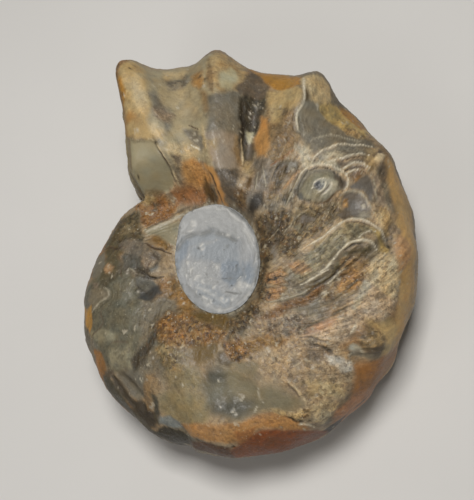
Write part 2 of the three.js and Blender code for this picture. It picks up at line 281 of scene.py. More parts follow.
# %% Define the section
MIDDLE_HEIGHT = 38.0
PLUG_HEIGHT, PLUG_TILT_X, PLUG_TILT_Y = 60.5, 0.15, -0.05
UNDER_RADIUS, UNDER_LIP, UNDER_DEPTH = 22.0, 7.0, 13.0
RIM_TILT = 45.0
HOLLOW_SHOULDER, SEAM_SHOULDER = 15, 24
UPPER = {"sign": 1, "start": 20, "end": 39, "haste": 1, "flank": 86, "rim": 22, "ledge": 66}
LOWER = {"sign": -1, "start": 33, "end": 43, "haste": 2, "flank": 14, "rim": 14, "ledge": 10}


def plug_top(x, y):
    """The slightly tilted plane of the filler."""
    return PLUG_HEIGHT + PLUG_TILT_X * x + PLUG_TILT_Y * y


def flank_radii(s, side, inner, outer):
    """Rings across the flank, evenly spaced on either side of the ring that follows the break."""
    ring = np.arange(side["flank"] + 1)[:, None]
    even = side["ledge"] / side["flank"]
    wanted = np.clip((np.minimum(s["broken"], outer - 1.2) - inner) / (outer - inner), 0, 1)
    ledge = mix(even, wanted, s["ledged"])
    after = mix(ledge, 1, (ring - side["ledge"]) / (side["flank"] - side["ledge"]))
    foot = s["past_ledge"] & (ring == side["ledge"] + 1)
    after = np.where(foot, mix(ledge, after, 0.3), after)
    return mix(inner, outer, np.where(ring <= side["ledge"], ledge * ring / side["ledge"], after))


def flank_height(s, side, tilt, growth):
    """Height of the superellipse: the middle height, plus the half thickness times a cosine power."""
    thick = mix(side["start"], side["end"], 1 - (1 - growth) ** side["haste"])
    fall = np.maximum(0, np.cos(np.radians(tilt))) ** (2 / s["rim_power"])
    return MIDDLE_HEIGHT + side["sign"] * thick * fall, thick * (1 - fall)


def shoulder(s, out):
    """How far the flank has risen, steeply from the hollow and gently from the seam."""
    steep = 1 - (1 - np.clip(out / HOLLOW_SHOULDER, 0, 1)) ** 3
    return mix(steep, smooth(0, SEAM_SHOULDER, out), s["gentle"])


def side_grid(s, side, rim_spread=None):
    """One side of the stone, from the hollow's edge to the middle plane, with its spread radius."""
    upper = side["sign"] > 0
    inner = s["plug"] if upper else np.full_like(s["plug"], UNDER_RADIUS)
    outer = s["rim"] * math.sin(math.radians(RIM_TILT)) ** (2 / s["flank_power"])
    flank = flank_radii(s, side, inner, outer)
    flank_tilt = np.degrees(np.arcsin(np.clip(flank / s["rim"], 0, 1) ** (s["flank_power"] / 2)))
    steps = np.arange(1, side["rim"] + 1)[:, None] / side["rim"]
    rim_tilt = mix(RIM_TILT, 90, steps) + 0 * flank[:1]
    rim = s["rim"] * np.sin(np.radians(rim_tilt)) ** (2 / s["flank_power"])
    radius, tilt = np.vstack([flank, rim]), np.vstack([flank_tilt, rim_tilt])
    x, y = radius * s["cos"], radius * s["sin"]

    old, old_drop = flank_height(s, side, tilt, s["old_growth"])
    last, last_drop = flank_height(s, side, tilt, s["growth"])
    lip = plug_top(x, y) if upper else np.full_like(x, UNDER_LIP)
    along = np.clip((s["angle"] - SEAM_FROM) / (SEAM_TO - SEAM_FROM), 0, 1)
    seam = np.where(s["overlapped"], np.maximum(inner + 0.6, 26.5 + 19.5 * along**2), inner)
    under = np.where(s["overlapped"], mix(lip, old, shoulder(s, radius - inner)), lip)
    ring = np.arange(len(radius))[:, None]
    hidden = s["past_ledge"] & (ring > side["ledge"])
    height = np.where(hidden, under, mix(under, last, shoulder(s, radius - seam)))
    whorl = np.where(hidden, 0, smooth(-0.5, 2.5, radius - seam))

    clear = smooth(0, 8, radius - inner)
    marks = relief_lift(x, y) if upper else 0
    lost = smooth(205, 223, s["turn"]) * (1 - smooth(259, 262, s["turn"]))
    lift = whorl * (clear * rib_lift(s, radius) + tubercle_lift(s, tilt))
    lift = lift + clear * (marks + wave_lift(x, y, height)) - 1.6 * lost * smooth(22, 40, tilt)
    outward = lift * np.sin(np.radians(tilt)) * (1 - 0.7 * s["squarer"])
    z = np.maximum(0, height + side["sign"] * lift * np.cos(np.radians(tilt)))
    place = np.stack([(radius + outward) * s["cos"], (radius + outward) * s["sin"], z], -1)
    drop = np.where(hidden, old_drop, last_drop)
    spread = radius + drop if upper else rim_spread + s["rim"] - radius + last_drop.max(0) - drop
    return place, spread


upper_place, upper_spread = side_grid(SPOKES, UPPER)
lower_place, lower_spread = side_grid(SPOKES, LOWER, upper_spread[-1])
print("upper side", upper_place.shape, "lower side", lower_place.shape)

# %% [markdown]
# ## One closed surface
#
# The grids are stacked into one: the floor of the hollow, the upper side, the lower side turned
# round, and the roof of the hollow underneath. A closed skin needs no edges left open, so each end
# gets one point, with a fan of triangles to it.

# %% Stack the rings of the stone
HOLLOW_DEPTH = 8.0
HOLLOW_RINGS = [(0.4, 8.5), (0.65, 8.3), (0.8, 8.0), (0.88, 5.5), (0.94, 3.2), (0.985, 1.0)]
UNDER_SHARES = (0.9, 0.75, 0.58, 0.4, 0.2)


def plug_ring(s, share, gap, depth):
    """A ring at a share of the plug's outline, drawn in by a gap and let down by a depth."""
    radius = s["plug"] * share - gap
    x, y = radius * s["cos"], radius * s["sin"]
    return np.stack([x, y, plug_top(x, y) - depth], -1)


def under_ring(s, share):
    """A ring of the hollow underneath, on a dome that is deepest at the axis."""
    radius = UNDER_RADIUS * share
    height = UNDER_LIP + (UNDER_DEPTH - UNDER_LIP) * (1 - share * share)
    return np.stack([radius * s["cos"], radius * s["sin"], np.full_like(s["cos"], height)], -1)


hollow = np.stack([plug_ring(SPOKES, share, 0, depth) for share, depth in HOLLOW_RINGS])
under = np.stack([under_ring(SPOKES, share) for share in UNDER_SHARES])
stone_grid = np.concatenate([hollow, upper_place, lower_place[-2::-1], under])
SPREAD = np.concatenate(
    [
        np.linspace(0.3, 0.98, len(hollow))[:, None] * upper_spread[:1],
        upper_spread,
        lower_spread[-2::-1],
        lower_spread[:1] + np.linspace(2, 20, len(under))[:, None],
    ]
)
FIRST_FLANK_RING = len(hollow)
print("stone grid", stone_grid.shape, "so about", 2 * stone_grid[..., 0].size, "triangles")

# %% [markdown]
# ## Noise made in arrays
#
# Broken stone is rough at every size at once. Two kinds of noise give that. Cloud noise puts a
# random value on each corner of a lattice and blends between them. Chip noise scatters one point
# in each cell and gives every place the value of its nearest point, which makes flat flakes with
# sharp edges. A fixed seed makes both the same on each run.

# %% Define the noises
RANDOM = np.random.default_rng(20).uniform(-1, 1, 8192)


def lattice_value(cell, seed):
    """A fixed random value, from -1 to 1, for each integer cell of space."""
    a, b, c = cell[..., 0], cell[..., 1], cell[..., 2]
    return RANDOM[(a * 73856093 ^ b * 19349663 ^ c * 83492791 ^ seed * 2654435) % 8192]


def clouds(points, size, seed):
    """Random corner values of a lattice, blended with a smooth step along each axis."""
    scaled = points / size
    cell = np.floor(scaled).astype(np.int64)
    share = scaled - cell
    share = share * share * (3 - 2 * share)
    total = 0
    for corner in np.ndindex(2, 2, 2):
        weight = np.prod(np.where(corner, share, 1 - share), axis=-1)
        total = total + weight * lattice_value(cell + np.array(corner), seed)
    return total


def chips(points, size, seed):
    """The random value of the nearest scattered point, and how far it is, in cells."""
    scaled = points / size
    cell = np.floor(scaled).astype(np.int64)
    nearest, value = np.full(scaled.shape[:-1], 9.0), np.zeros(scaled.shape[:-1])
    for offset in np.ndindex(3, 3, 3):
        near = cell + np.array(offset) - 1
        jitter = np.stack([lattice_value(near, seed + k) for k in (1, 2, 3)], -1) * 0.5 + 0.5
        distance = np.linalg.norm(near + jitter - scaled, axis=-1)
        closer = distance < nearest
        nearest = np.where(closer, distance, nearest)
        value = np.where(closer, lattice_value(near, seed), value)
    return value, nearest


def rubble(points, size, seed, layers=3):
    """Clouds added up at halving sizes and heights, on a lattice that is turned each time."""
    turned = points @ np.array([[0.80, 0.60, 0.0], [-0.48, 0.64, 0.60], [0.36, -0.48, 0.80]])
    total = 0
    for layer in range(layers):
        total = total + clouds(turned, size / 2**layer, seed + layer) / 2**layer
        turned = turned[..., [1, 2, 0]] + 3.7
    return total


# %% [markdown]
# ## The stone's colours
#
# A fossil has no paint on it. Its colours are minerals: grey and olive limestone, orange and rust
# where iron seeped in, pale calcite in the seams and brown clay in the hollows. Each is given a
# plain name, so the marks below can be read as a description of the stone. The numbers are
# everyday screen colours, from 0 to 255, turned into the linear light that a renderer adds up.

# %% Name the colours
TONES = {
    "amber": (163, 120, 52), "beige": (163, 147, 114), "black brown": (34, 29, 21),
    "blue grey": (118, 124, 122), "bright ochre": (172, 128, 58), "brown": (92, 68, 34),
    "brown olive": (112, 98, 72), "brown orange": (116, 81, 38), "brown tan": (133, 111, 78),
    "chalk": (168, 162, 142), "charcoal": (53, 50, 38), "charcoal olive": (68, 65, 51),
    "chip grey": (194, 183, 146), "cool grey": (93, 92, 84), "dark brown": (78, 60, 42),
    "dark grey": (110, 103, 87), "dark ledge": (38, 35, 18), "dark mauve": (87, 77, 63),
    "dark olive": (86, 78, 54), "dark slope": (85, 72, 48), "dirt_and_shade": (72, 60, 40),
    "dull tan": (150, 130, 94), "facet grey": (128, 121, 103), "filler base": (147, 149, 150),
    "filler blue": (126, 134, 142), "filler cream": (178, 170, 150), "filler dark": (70, 68, 62),
    "filler grey": (139, 144, 148), "filler light": (154, 155, 154),
    "filler shade": (112, 112, 108), "filler white": (186, 185, 180), "fine tan": (166, 145, 114),
    "floor grey": (116, 105, 77), "golden": (180, 146, 92), "grey": (123, 117, 102),
    "grey green": (97, 94, 77), "mauve": (141, 126, 106), "mauve grey": (113, 104, 90),
    "ochre": (160, 122, 70), "ochre brown": (134, 103, 55), "ochre olive": (96, 77, 34),
    "olive": (130, 116, 86), "olive beige": (156, 143, 112), "olive tan": (130, 116, 82),
    "orange": (188, 138, 78), "orange brown": (141, 98, 46), "orange crumb": (136, 102, 52),
    "orange tan": (161, 119, 70), "pale green": (172, 164, 132), "pale olive": (136, 130, 106),
    "pale tan": (184, 164, 124), "pink": (162, 130, 103), "pinkish grey": (183, 163, 136),
    "purple grey": (94, 87, 77), "rim brown": (152, 105, 55), "rim pink": (180, 129, 88),
    "rust": (149, 100, 55), "salmon": (165, 132, 95), "skirt green": (135, 128, 104),
    "slate": (56, 62, 66), "tan": (166, 142, 100), "umber grey": (96, 84, 68),
    "vein cream": (196, 178, 142), "vein grey": (158, 150, 130), "vein white": (208, 200, 178),
    "venter brown": (124, 67, 28), "venter mauve": (80, 52, 32), "warm grey": (114, 106, 88),
    "white stone": (196, 190, 176), "yellow olive": (177, 153, 97), "yellow tan": (172, 148, 102),
}


def linear(tone):
    """Screen value over 255, plus 0.055, over 1.055, to the power 2.4: linear light."""
    return ((np.array(TONES[tone]) / 255 + 0.055) / 1.055) ** 2.4


print(len(TONES), "colours; orange in linear light is", linear("orange").round(3))

# %% [markdown]
# ## Looking through the camera
#
# The marks below are placed in the picture that the camera takes, because there a patch is
# easily put beside the rib or the seam that it touches. So the camera comes first. It looks from
# nearly straight above, leaning a little to the front and right. Back points from the fossil to
# the camera, right is level with the picture's lower edge, and up is their cross product. A
# point's place in the picture then follows from similar triangles.

# %% Aim the camera
PICTURE_WIDE, PICTURE_HIGH = 474, 500  # pixels
LENS, SENSOR = 70.0, 36.0  # mm, the sensor along the picture's longer side
LEAN, REACH = math.radians(17.5), 0.450  # from straight above, and metres to the target
TARGET = np.array([-0.001867, -0.003811, 0.060])
back = np.array([0.53 * math.sin(LEAN), -0.85 * math.sin(LEAN), math.cos(LEAN)])
BACK = back / np.linalg.norm(back)
right = np.cross([0, 1, 0], BACK)
RIGHT = right / np.linalg.norm(right)
UP = np.cross(BACK, RIGHT)
EYE = TARGET + BACK * REACH


def picture_place(place):
    """Picture x and y in pixels, and depth in metres: sideways over depth, times the lens."""
    arm = place * MM + AXIS - EYE
    depth = -(arm @ BACK)
    scale = LENS / SENSOR * PICTURE_HIGH / depth
    across = PICTURE_WIDE / 2 + scale * (arm @ RIGHT)
    down = PICTURE_HIGH / 2 - scale * (arm @ UP)
    return np.stack([across, down], -1), depth


print("the coil axis is at pixel", picture_place(np.array([0.0, 0.0, 60.0]))[0].round(1))

# %% [markdown]
# ## The map of marks
#
# What makes this fossil itself is where its patches lie. They are written as three lists,
# each mark with its name, in pixels of the picture: x to the right and y down. A zone is an area
# with a soft edge; its crumb says how grainy it is. A vein is a line, a pale seam that stands up,
# a dark crack that sinks in, or a painted shade beside a seam. Spots are painted glints and dark
# pits. Later ones lie over earlier ones, as on the stone.

# %% List the marks
ZONES = [  # name, tone, softness of the edge in mm, crumb, lift in mm, outline in pixels
    ("beige field of the end", "olive beige", 2.5, .15, 0,
     "140,64 165,68 185,66 205,56 222,54 228,70 222,92 208,96 206,130 208,150 200,162 180,160 "
     "163,160 158,140 146,120 146,95"),
    ("cheek of the broken end", "yellow tan", 1.6, .2, 0,
     "119,66 124,62 131,61 138,64 145,70 148,90 150,104 151,112 147,119 150,124 160,128 "
     "164,135 161,140 150,139 126,140 123,118 118,100 117,80"),
    ("pale strip of the cheek", "pale tan", 1.5, .2, 0,
     "132,72 144,73 147,90 146,108 141,116 135,104 133,88"),
    ("amber edge of the cheek", "amber", 1.2, .3, 0, "117,78 122,77 125,96 124,110 119,104"),
    ("orange spot of the cheek", "ochre", 1.5, .1, 0, "125,112 133,112 138,121 133,130 125,128"),
    ("yellow foot of the cheek", "yellow tan", 1.5, .1, 0,
     "126,127 145,122 152,130 149,138 127,139"),
    ("pale foot of the cheek", "pale tan", 1.2, .15, 0,
     "147,121 158,124 163,131 163,139 154,138 149,130"),
    ("grey shadow of the field", "grey", 2.0, 0.2, 0,
     "148,90 155,91 161,101 170,110 171,121 169,131 163,136 159,124 151,108"),
    ("speckled grey of the field", "mauve", 1.6, 0.4, 0, "152,106 164,107 172,116 167,122 157,118"),
    ("dark patch of the field", "grey", 1.6, 0.4, 0, "168,78 184,74 191,79 187,86 177,91 169,90"),
    ("ochre patch of the field", "ochre", 1.6, .3, 0, "191,75 200,72 206,77 206,84 201,88 194,84"),
    ("pale patch of the field", "beige", 2.0, .1, 0, "181,104 197,102 201,118 192,123 181,116"),
    ("pale top of the field", "pale tan", 1.6, .2, 0, "163,71 184,71 184,78 167,80"),
    ("brown band beside the second rib", "brown tan", 1.5, .2, 0, "202,88 208,92 208,112 202,112"),
    ("grey flake", "grey", 1.0, .2, -.4,
     "184,130 192,128 201,134 207,141 205,151 198,151 192,143 185,138"),
    ("tan rubble", "pale tan", 1.5, 0.3, 0,
     "168,144 182,143 196,150 199,160 187,160 181,166 174,160"),
    ("grey hole in the rubble", "mauve", 1.0, 0.4, -0.5, "174,155 182,155 182,163 176,162"),
    ("pale band beside the mauve rib", "pale tan", 1.0, .3, .2,
     "202,124 207,131 209,142 213,152 215,163 210,166 205,156 202,140"),
    ("grey green patch in the band", "olive beige", 1.0, 0.2, 0,
     "201,150 210,150 213,158 208,163 202,161"),
    ("smooth grey chip", "chip grey", .8, 0, -.9,
     "125,141 135,140 148,139 153,141 157,147 162,154 167,162 172,170 175,178 173,186 168,194 "
     "158,197 150,195 143,199 136,197 131,182 127,165 125,152"),
    ("orange foot of the end", "orange brown", 1.6, .5, 0,
     "135,199 143,199 150,194 158,193 166,196 172,203 180,203 176,211 168,219 158,224 148,227 "
     "141,221 137,211"),
    ("yellow corner of the foot", "yellow tan", 1.5, 0.3, 0,
     "136,197 146,196 152,193 154,200 146,206 138,204"),
    ("dark spot of the foot", "umber grey", 1.4, .5, 0, "152,203 158,205 156,212 151,211"),
    ("rust under the rubble", "rust", 2.0, 0.3, 0,
     "170,190 184,184 196,187 207,186 210,196 203,204 190,206 178,205"),
    ("bright orange patch", "orange", 1.6, .3, 0,
     "183,162 192,157 202,164 210,172 213,180 207,187 196,189 186,185 182,173"),
    ("brown gap beside the column", "brown", 1.0, 0.3, -0.3,
     "205,180 210,184 217,198 221,206 214,206 208,196"),
    ("orange strip beside the column", "orange", 1.0, 0.0, 0,
     "206,164 213,164 218,176 223,190 227,204 221,205 216,192 211,180"),
    ("green tubercle", "tan", 1.6, .3, 0,
     "205,60 214,54 226,55 236,59 245,66 247,75 244,84 236,90 226,92 217,86 209,76"),
    ("pale face of the tubercle", "pale green", 1.5, .1, 0,
     "221,73 229,67 237,72 237,81 231,90 223,87"),
    ("brown notch of the tubercle", "brown tan", 1.0, .3, -.2,
     "208,62 213,63 216,76 213,91 208,86"),
    ("dark field of the second rib", "dark grey", 1.6, 0.2, 0,
     "208,96 220,93 236,91 243,94 245,102 243,118 241,131 232,134 221,129 210,129 206,115"),
    ("dark shoulder of the groove", "umber grey", 1.2, .3, 0,
     "236,88 245,78 252,71 261,79 269,85 272,92 268,102 262,112 255,100 245,96"),
    ("mauve rib", "mauve", 1.4, .1, 0,
     "206,131 220,129 233,133 242,136 243,150 242,165 238,170 226,169 215,168 211,155 208,142"),
    ("tan edge of the mauve rib", "dull tan", 1.2, .2, 0, "207,138 218,138 219,150 212,152"),
    ("brown flank of the mauve rib", "brown tan", 1.0, .2, 0, "235,134 242,136 243,165 238,166"),
    ("dark foot of the rib", "dark mauve", 1.2, .3, 0,
     "214,169 226,169 239,170 240,186 241,202 233,203 226,199 220,186"),
    ("groove", "charcoal", 1.2, .4, 0,
     "242,99 248,96 257,99 266,97 271,91 268,106 261,120 256,131 254,146 251,160 245,164 "
     "242,155 240,140 240,125 241,110"),
    ("black bottom of the groove", "black brown", 1.0, .3, 0,
     "241,116 245,118 247,130 246,142 244,150 241,140"),
    ("pale scab in the groove", "pale green", .7, .2, .3,
     "247,132 254,131 254,142 250,144 247,139"),
    ("grey step in the groove", "umber grey", .8, .1, 0, "245,145 253,143 251,160 246,160"),
    ("tan end of the groove", "dull tan", 1.2, .3, 0, "243,160 251,160 250,173 243,173"),
    ("rust spot", "brown", .8, .2, .2, "245,176 249,176 250,184 247,188 244,185"),
    ("brown below the groove", "brown", 1.4, .5, 0, "238,186 250,190 250,206 241,209 236,200"),
    ("orange top of the third rib", "amber", 1.0, .2, 0,
     "246,65 260,69 275,73 290,76 304,77 303,84 296,86 289,90 279,90 271,87 261,79 253,73"),
    ("yellow face of the third rib", "yellow tan", 1.5, .2, 0,
     "270,91 285,90 300,86 303,90 302,98 297,108 290,111 278,111 270,108 268,100"),
    ("brown field of the third rib", "brown tan", 2.0, .4, 0,
     "267,108 290,111 297,111 296,125 299,138 293,150 285,159 274,161 267,158 266,140"),
    ("yellow patch of the brown field", "yellow tan", 1.5, .3, 0,
     "271,109 281,111 281,123 273,123"),
    ("orange side of the third rib", "orange", 1.4, .2, 0,
     "263,117 268,119 269,140 266,156 258,157 254,149 256,137 260,126"),
    ("grey foot of the third rib", "mauve grey", 1.5, .3, 0,
     "254,158 268,158 271,175 267,190 259,201 252,213 246,209 249,190 251,172"),
    ("dark foot of the third rib", "black brown", 1.6, 0.2, -0.2,
     "252,197 258,193 263,195 265,202 260,211 254,217 249,212"),
    ("dark slope under the crack", "dark slope", 1.6, .5, 0,
     "270,180 275,170 284,163 292,162 298,165 300,171 291,173 283,177 277,187 273,200 269,210"),
    ("grey facet under the crack", "dark grey", 1.0, .1, 0, "285,163 296,163 298,170 288,173"),
    ("blue streaks by the eye", "charcoal olive", 1.2, 0.4, 0,
     "282,201 289,190 297,184 299,188 292,200 286,206"),
    ("smooth dark facet", "facet grey", 1.0, 0, -.3,
     "305,88 309,89 311,100 326,103 328,112 322,121 310,123 300,121 296,115 303,107 304,100"),
    ("brown strip by the crack", "dark slope", 0.7, 0.2, 0, "303,88 309,90 309,101 303,101"),
    ("round tan tubercle", "pale tan", 1.2, .3, 0,
     "304,78 312,75 321,77 328,84 331,92 328,101 318,103 311,100 309,90 305,85"),
    ("olive shoulder band", "yellow olive", 1.5, .3, 0,
     "317,104 328,100 340,109 352,119 362,126 369,133 364,139 355,135 343,131 335,126 325,118"),
    ("amber edge of the shoulder", "amber", 1.0, .3, 0,
     "338,104 350,113 362,124 369,131 362,130 350,120 340,110"),
    ("rust spots of the shoulder", "tan", 1.2, 0.6, 0,
     "343,130 352,128 361,133 367,138 359,140 348,138"),
    ("grey chamber field", "dark grey", 1.5, .2, 0,
     "299,125 311,122 325,120 339,126 346,133 356,138 372,141 376,146 368,148 350,144 335,142 "
     "320,149 314,156 309,152 305,142 300,135"),
    ("second chamber field", "grey", 1.2, .3, 0,
     "322,150 335,146 350,146 369,147 373,152 369,157 360,154 348,157 338,159 330,161 318,163 "
     "316,158"),
    ("white chalk in the second field", "chalk", 1.0, .4, 0,
     "328,152 337,151 342,156 336,160 328,160"),
    ("third chamber field", "umber grey", 1.0, .2, 0,
     "338,162 350,159 360,157 370,159 370,164 362,163 354,162 346,165 340,168 334,166"),
    ("fourth chamber field", "dark brown", .8, .2, 0, "351,167 362,165 367,168 360,170 350,171"),
    ("brown corner of the chambers", "brown", 1.0, .4, 0,
     "349,176 356,172 362,170 366,172 360,178 354,181 349,180"),
    ("yellow corner of the chambers", "ochre", .8, .3, 0, "352,179 358,177 356,182 351,183"),
    ("pale bed of the chambers", "chalk", 1.4, .4, 0,
     "299,146 306,142 310,151 312,161 318,163 326,160 336,163 343,168 346,174 339,171 330,167 "
     "318,165 308,168 303,166 301,155"),
    ("brown ends of the arcs", "dull tan", 1.5, .3, 0,
     "367,147 378,148 377,158 378,166 374,172 368,168 365,160"),
    ("dark shade above the bright knob", "dark brown", .8, .2, -.4,
     "374,156 377,152 381,149 385,151 384,154 379,154 376,159"),
    ("tan skin over the knob", "brown tan", 1.0, 0.3, 0,
     "375,145 383,147 387,151 389,158 387,166 384,165 385,157 381,151"),
    ("bright knob", "vein cream", .6, .2, .8,
     "376,158 378,154 381,153 384,154 385,158 383,162 379,164 376,162"),
    ("dark fall under the knob", "umber grey", 1.0, .4, -.3,
     "377,168 384,165 389,166 389,178 385,184 379,180"),
    ("golden rim", "golden", 3.2, 0.15, 0,
     "387,158 395,170 402,185 410,205 414,225 416,250 415,280 413,300 409,320 402,342 396,356 "
     "388,350 392,335 396,312 400,290 401,270 402,250 398,230 395,210 391,195 387,180"),
    ("mauve strip inside the rim", "mauve", 1.4, 0.3, 0,
     "371,172 378,179 383,190 386,205 381,209 376,198 373,185"),
    ("dark ring of the eye", "grey", 0.8, 0.15, 0,
     "299,198 297,190 299,182 303,175 308,170 316,168 326,169 334,172 341,176 345,182 343,189 "
     "336,193 330,199 322,203 312,201 304,200"),
    ("olive inside of the eye", "pale olive", 1.6, 0.2, 0,
     "302,188 305,182 310,177 317,173.5 326,172.5 333,174 336,179 336,187 332,193 325,198 "
     "317,200 309,200 304,197 301,193"),
    ("pale swirl of the eye", "chalk", 1.4, 0.2, 0.15,
     "314,181 320,178 327,177 333,180 336,186 332,192 326,195 320,194 318,189 315,186"),
    ("dark pupil of the eye", "slate", 0.6, 0.1, -0.3,
     "313,185 317,182 321,184 322,188 319,191 315,190"),
    ("brown end of the eye", "umber grey", .9, .1, -.2,
     "333,172 338,175 343,179 345,184 342,188 337,188 336,181 333,178"),
    ("blue corner of the eye", "cool grey", 0.8, 0.1, 0, "299,192 303,191 305,196 302,200 300,198"),
    ("upper purple chamber", "purple grey", 1.0, .1, 0,
     "346,186 352,182 360,178 366,175 371,182 373,192 371,203 367,199 363,194 357,190 350,189"),
    ("lower purple chamber", "purple grey", 1.0, .1, 0,
     "341,197 346,193 354,192 361,195 366,200 371,209 370,216 362,219 352,217 345,213 341,206"),
    ("brown foot of the purple chamber", "dark mauve", 1.0, .2, 0,
     "339,211 350,212 353,219 345,222 339,218"),
    ("yellow flecks in the purple", "ochre", .8, .3, 0, "343,202 348,202 349,209 344,210"),
    ("grey green sill of the purple", "grey", 1.0, .2, 0, "359,212 372,211 372,219 360,219"),
    ("brown bed below the eye", "olive", 2.0, 0.7, 0,
     "301,205 312,203 326,204 339,200 340,211 338,220 330,227 318,233 308,239 299,233 291,225 "
     "289,215 295,208"),
    ("dark oval below the eye", "umber grey", 1.0, .3, 0,
     "300,216 308,213 315,217 309,222 300,221"),
    ("grey lens below the eye", "grey green", 1.6, 0.4, 0, "294,224 302,222 303,229 296,231"),
    ("tan field inside the rim", "pale tan", 2.0, 0.5, 0,
     "375,211 386,213 394,221 396,232 388,237 384,230 376,222"),
    ("mauve fleck inside the rim", "mauve", 0.9, 0.2, 0, "386,222 394,222 397,230 389,231"),
    ("flow of grey between the crescents", "pale olive", 1.6, 0.5, 0,
     "296,264 308,250 320,243 330,238 340,230 348,225 358,222 368,226 374,232 366,233 357,237 "
     "350,241 343,248 335,258 324,266 314,274 304,280 296,280 290,272"),
    ("yellow inside the crescent", "yellow olive", 1.2, .4, 0,
     "370,228 378,232 382,238 384,244 388,248 384,254 378,252 379,244 376,236"),
    ("dark band under the crescents", "dark olive", 1.4, .4, -.3,
     "302,290 310,283 320,280 328,272 336,264 343,256 351,249 360,246 370,248 373,252 366,255 "
     "356,255 349,260 343,268 335,275 326,282 316,288 306,294"),
    ("ochre flow", "brown tan", 1.8, 0.6, 0,
     "344,262 352,257 362,256 368,262 371,270 366,278 360,286 350,293 340,299 330,301 322,299 "
     "330,289 338,277"),
    ("brown vein of the flow", "brown orange", 1.5, .5, 0,
     "256,322 264,313 275,307 290,302 302,296 312,288 321,284 327,286 319,296 307,303 296,309 "
     "282,314 270,320"),
    ("salmon patch by the plug", "salmon", 0.8, 0.55, 0.35,
     "264,276 269,272 276,273 282,270 287,274 283,280 286,283 278,286 272,285 266,283"),
    ("lower salmon patch by the plug", "salmon", 0.8, 0.55, 0.35,
     "264,292 270,289 276,288 283,286 287,289 284,294 279,299 272,301 266,298"),
    ("salmon patch of the flow", "salmon", 1.2, .5, 0,
     "289,263 298,259 305,266 312,270 305,275 292,271"),
    ("dark slope beside the plug", "dark slope", 1.8, .7, 0,
     "256,222 266,216 276,212 284,208 290,216 290,226 283,236 281,246 277,256 269,266 265,280 "
     "265,300 257,307 257,290 259,270 258,248"),
    ("mauve blot on the slope", "mauve grey", 1.0, .3, 0,
     "273,246 278,243 281,251 277,257 272,253"),
    ("brown crumble above the flow", "brown olive", 1.6, 0.8, 0,
     "281,233 292,228 301,233 300,245 293,255 283,257 278,248"),
    ("pink field", "pinkish grey", 2.2, .5, 0,
     "350,302 358,291 366,282 376,277 388,274 397,280 397,296 393,312 385,321 372,322 362,320 "
     "356,328 350,339 338,346 324,342 318,336 330,322 342,312"),
    ("white streaks of the pink field", "chalk", 1.2, 0.5, 0,
     "362,281 369,275 373,282 367,292 362,302 355,312 351,309 355,298"),
    ("golden heart of the flow", "ochre", 1.4, .6, 0,
     "339,290 343,279 350,270 357,267 362,272 360,281 354,288 346,293"),
    ("salmon streak of the pink field", "pink", 1.6, .4, 0,
     "303,335 315,326 326,319 337,317 331,328 319,336 308,341"),
    ("olive flow at the bottom", "mauve", 2.2, 0.7, 0,
     "255,324 270,319 285,315 300,316 314,324 305,334 290,338 275,336 258,338"),
    ("orange flow at the bottom", "ochre brown", 1.6, .5, 0,
     "228,349 238,340 255,336 275,338 293,338 281,346 262,351 248,353 238,357"),
    ("tan crumbs inside the rim", "vein cream", 2.0, 0.5, 0,
     "378,250 388,253 397,256 401,268 399,285 395,298 385,295 375,287 367,277 369,264"),
    ("bright crumbs inside the rim", "vein cream", 1.4, 0.6, 0,
     "372,262 384,262 392,270 388,280 376,280 369,272"),
    ("orange tan inside the rim", "tan", 1.6, 0.5, 0,
     "378,206 387,208 392,222 393,238 386,240 381,226"),
    ("mauve notch of the rim", "mauve", 1.2, .4, -.3,
     "386,224 392,222 398,227 403,233 402,238 395,236 389,232"),
    ("brown knob of the rim", "salmon", 1.4, .3, .4,
     "393,241 400,237 407,241 410,249 409,259 404,267 399,272 396,262 394,251"),
    ("golden shoulder", "yellow tan", 2.0, .2, 0,
     "366,318 378,321 391,321 398,326 393,345 385,360 378,352 384,340 380,330 369,328"),
    ("tan country of the lower right", "fine tan", 2.5, .5, 0,
     "268,356 280,346 300,340 318,338 340,346 352,356 356,368 352,384 346,396 336,404 320,404 "
     "304,400 290,388 275,378 262,370"),
    ("worn knob", "dull tan", 1.2, .5, 0,
     "361,336 368,328 376,328 383,334 386,342 381,350 370,352 362,348"),
    ("dark ring of the worn knob", "dark mauve", .9, .3, -.2,
     "375,345 384,345 382,352 372,356 362,355 367,351"),
    ("pale lens by the knob", "chalk", 1.0, 0.2, 0,
     "348,345 355,343 362,347 363,354 353,353 348,350"),
    ("grey shelf by the knob", "dark grey", .9, .2, 0, "350,353 364,354 373,353 366,359 352,358"),
    ("dark hollow of the lower right", "mauve", 1.4, 0.6, -0.4,
     "307,346 318,342 329,347 335,356 326,359 312,361 305,355"),
    ("white scab of the lower right", "white stone", 1.0, .5, .4,
     "325,357 336,358 345,360 353,363 354,372 346,373 338,369 329,363"),
    ("brown rim of the lower right", "rim brown", 3.4, 0.2, 0,
     "354,367 369,361 383,356 393,350 400,342 396,356 386,374 376,388 366,398 352,404 350,392 "
     "354,378"),
    ("pink rim of the lower right", "rim pink", 3, 0.3, 0,
     "350,398 364,391 374,386 369,397 356,410 344,420 332,424 336,410"),
    ("dark edge of the lower right", "black brown", 1.2, 0.15, 0,
     "322,431 336,422 350,412 362,402 373,389 378,392 364,408 348,424 330,436"),
    ("olive yellow field", "pale tan", 1.8, 0.5, 0,
     "300,385 320,379 340,384 346,395 331,399 312,396"),
    ("tan foot of the lower right", "vein cream", 1.5, 0.5, 0,
     "311,405 325,402 339,404 331,415 322,423 313,421"),
    ("olive floor", "olive tan", 3.0, 0.2, 0,
     "158,396 170,387 186,391 202,392 211,405 210,418 200,425 190,429 180,423 165,418 158,408"),
    ("pinkish floor", "olive tan", 3.0, 0.3, 0,
     "166,372 180,367 196,371 205,378 205,390 190,392 174,390 166,384"),
    ("smooth grey floor", "floor grey", 4.0, 0.1, 0,
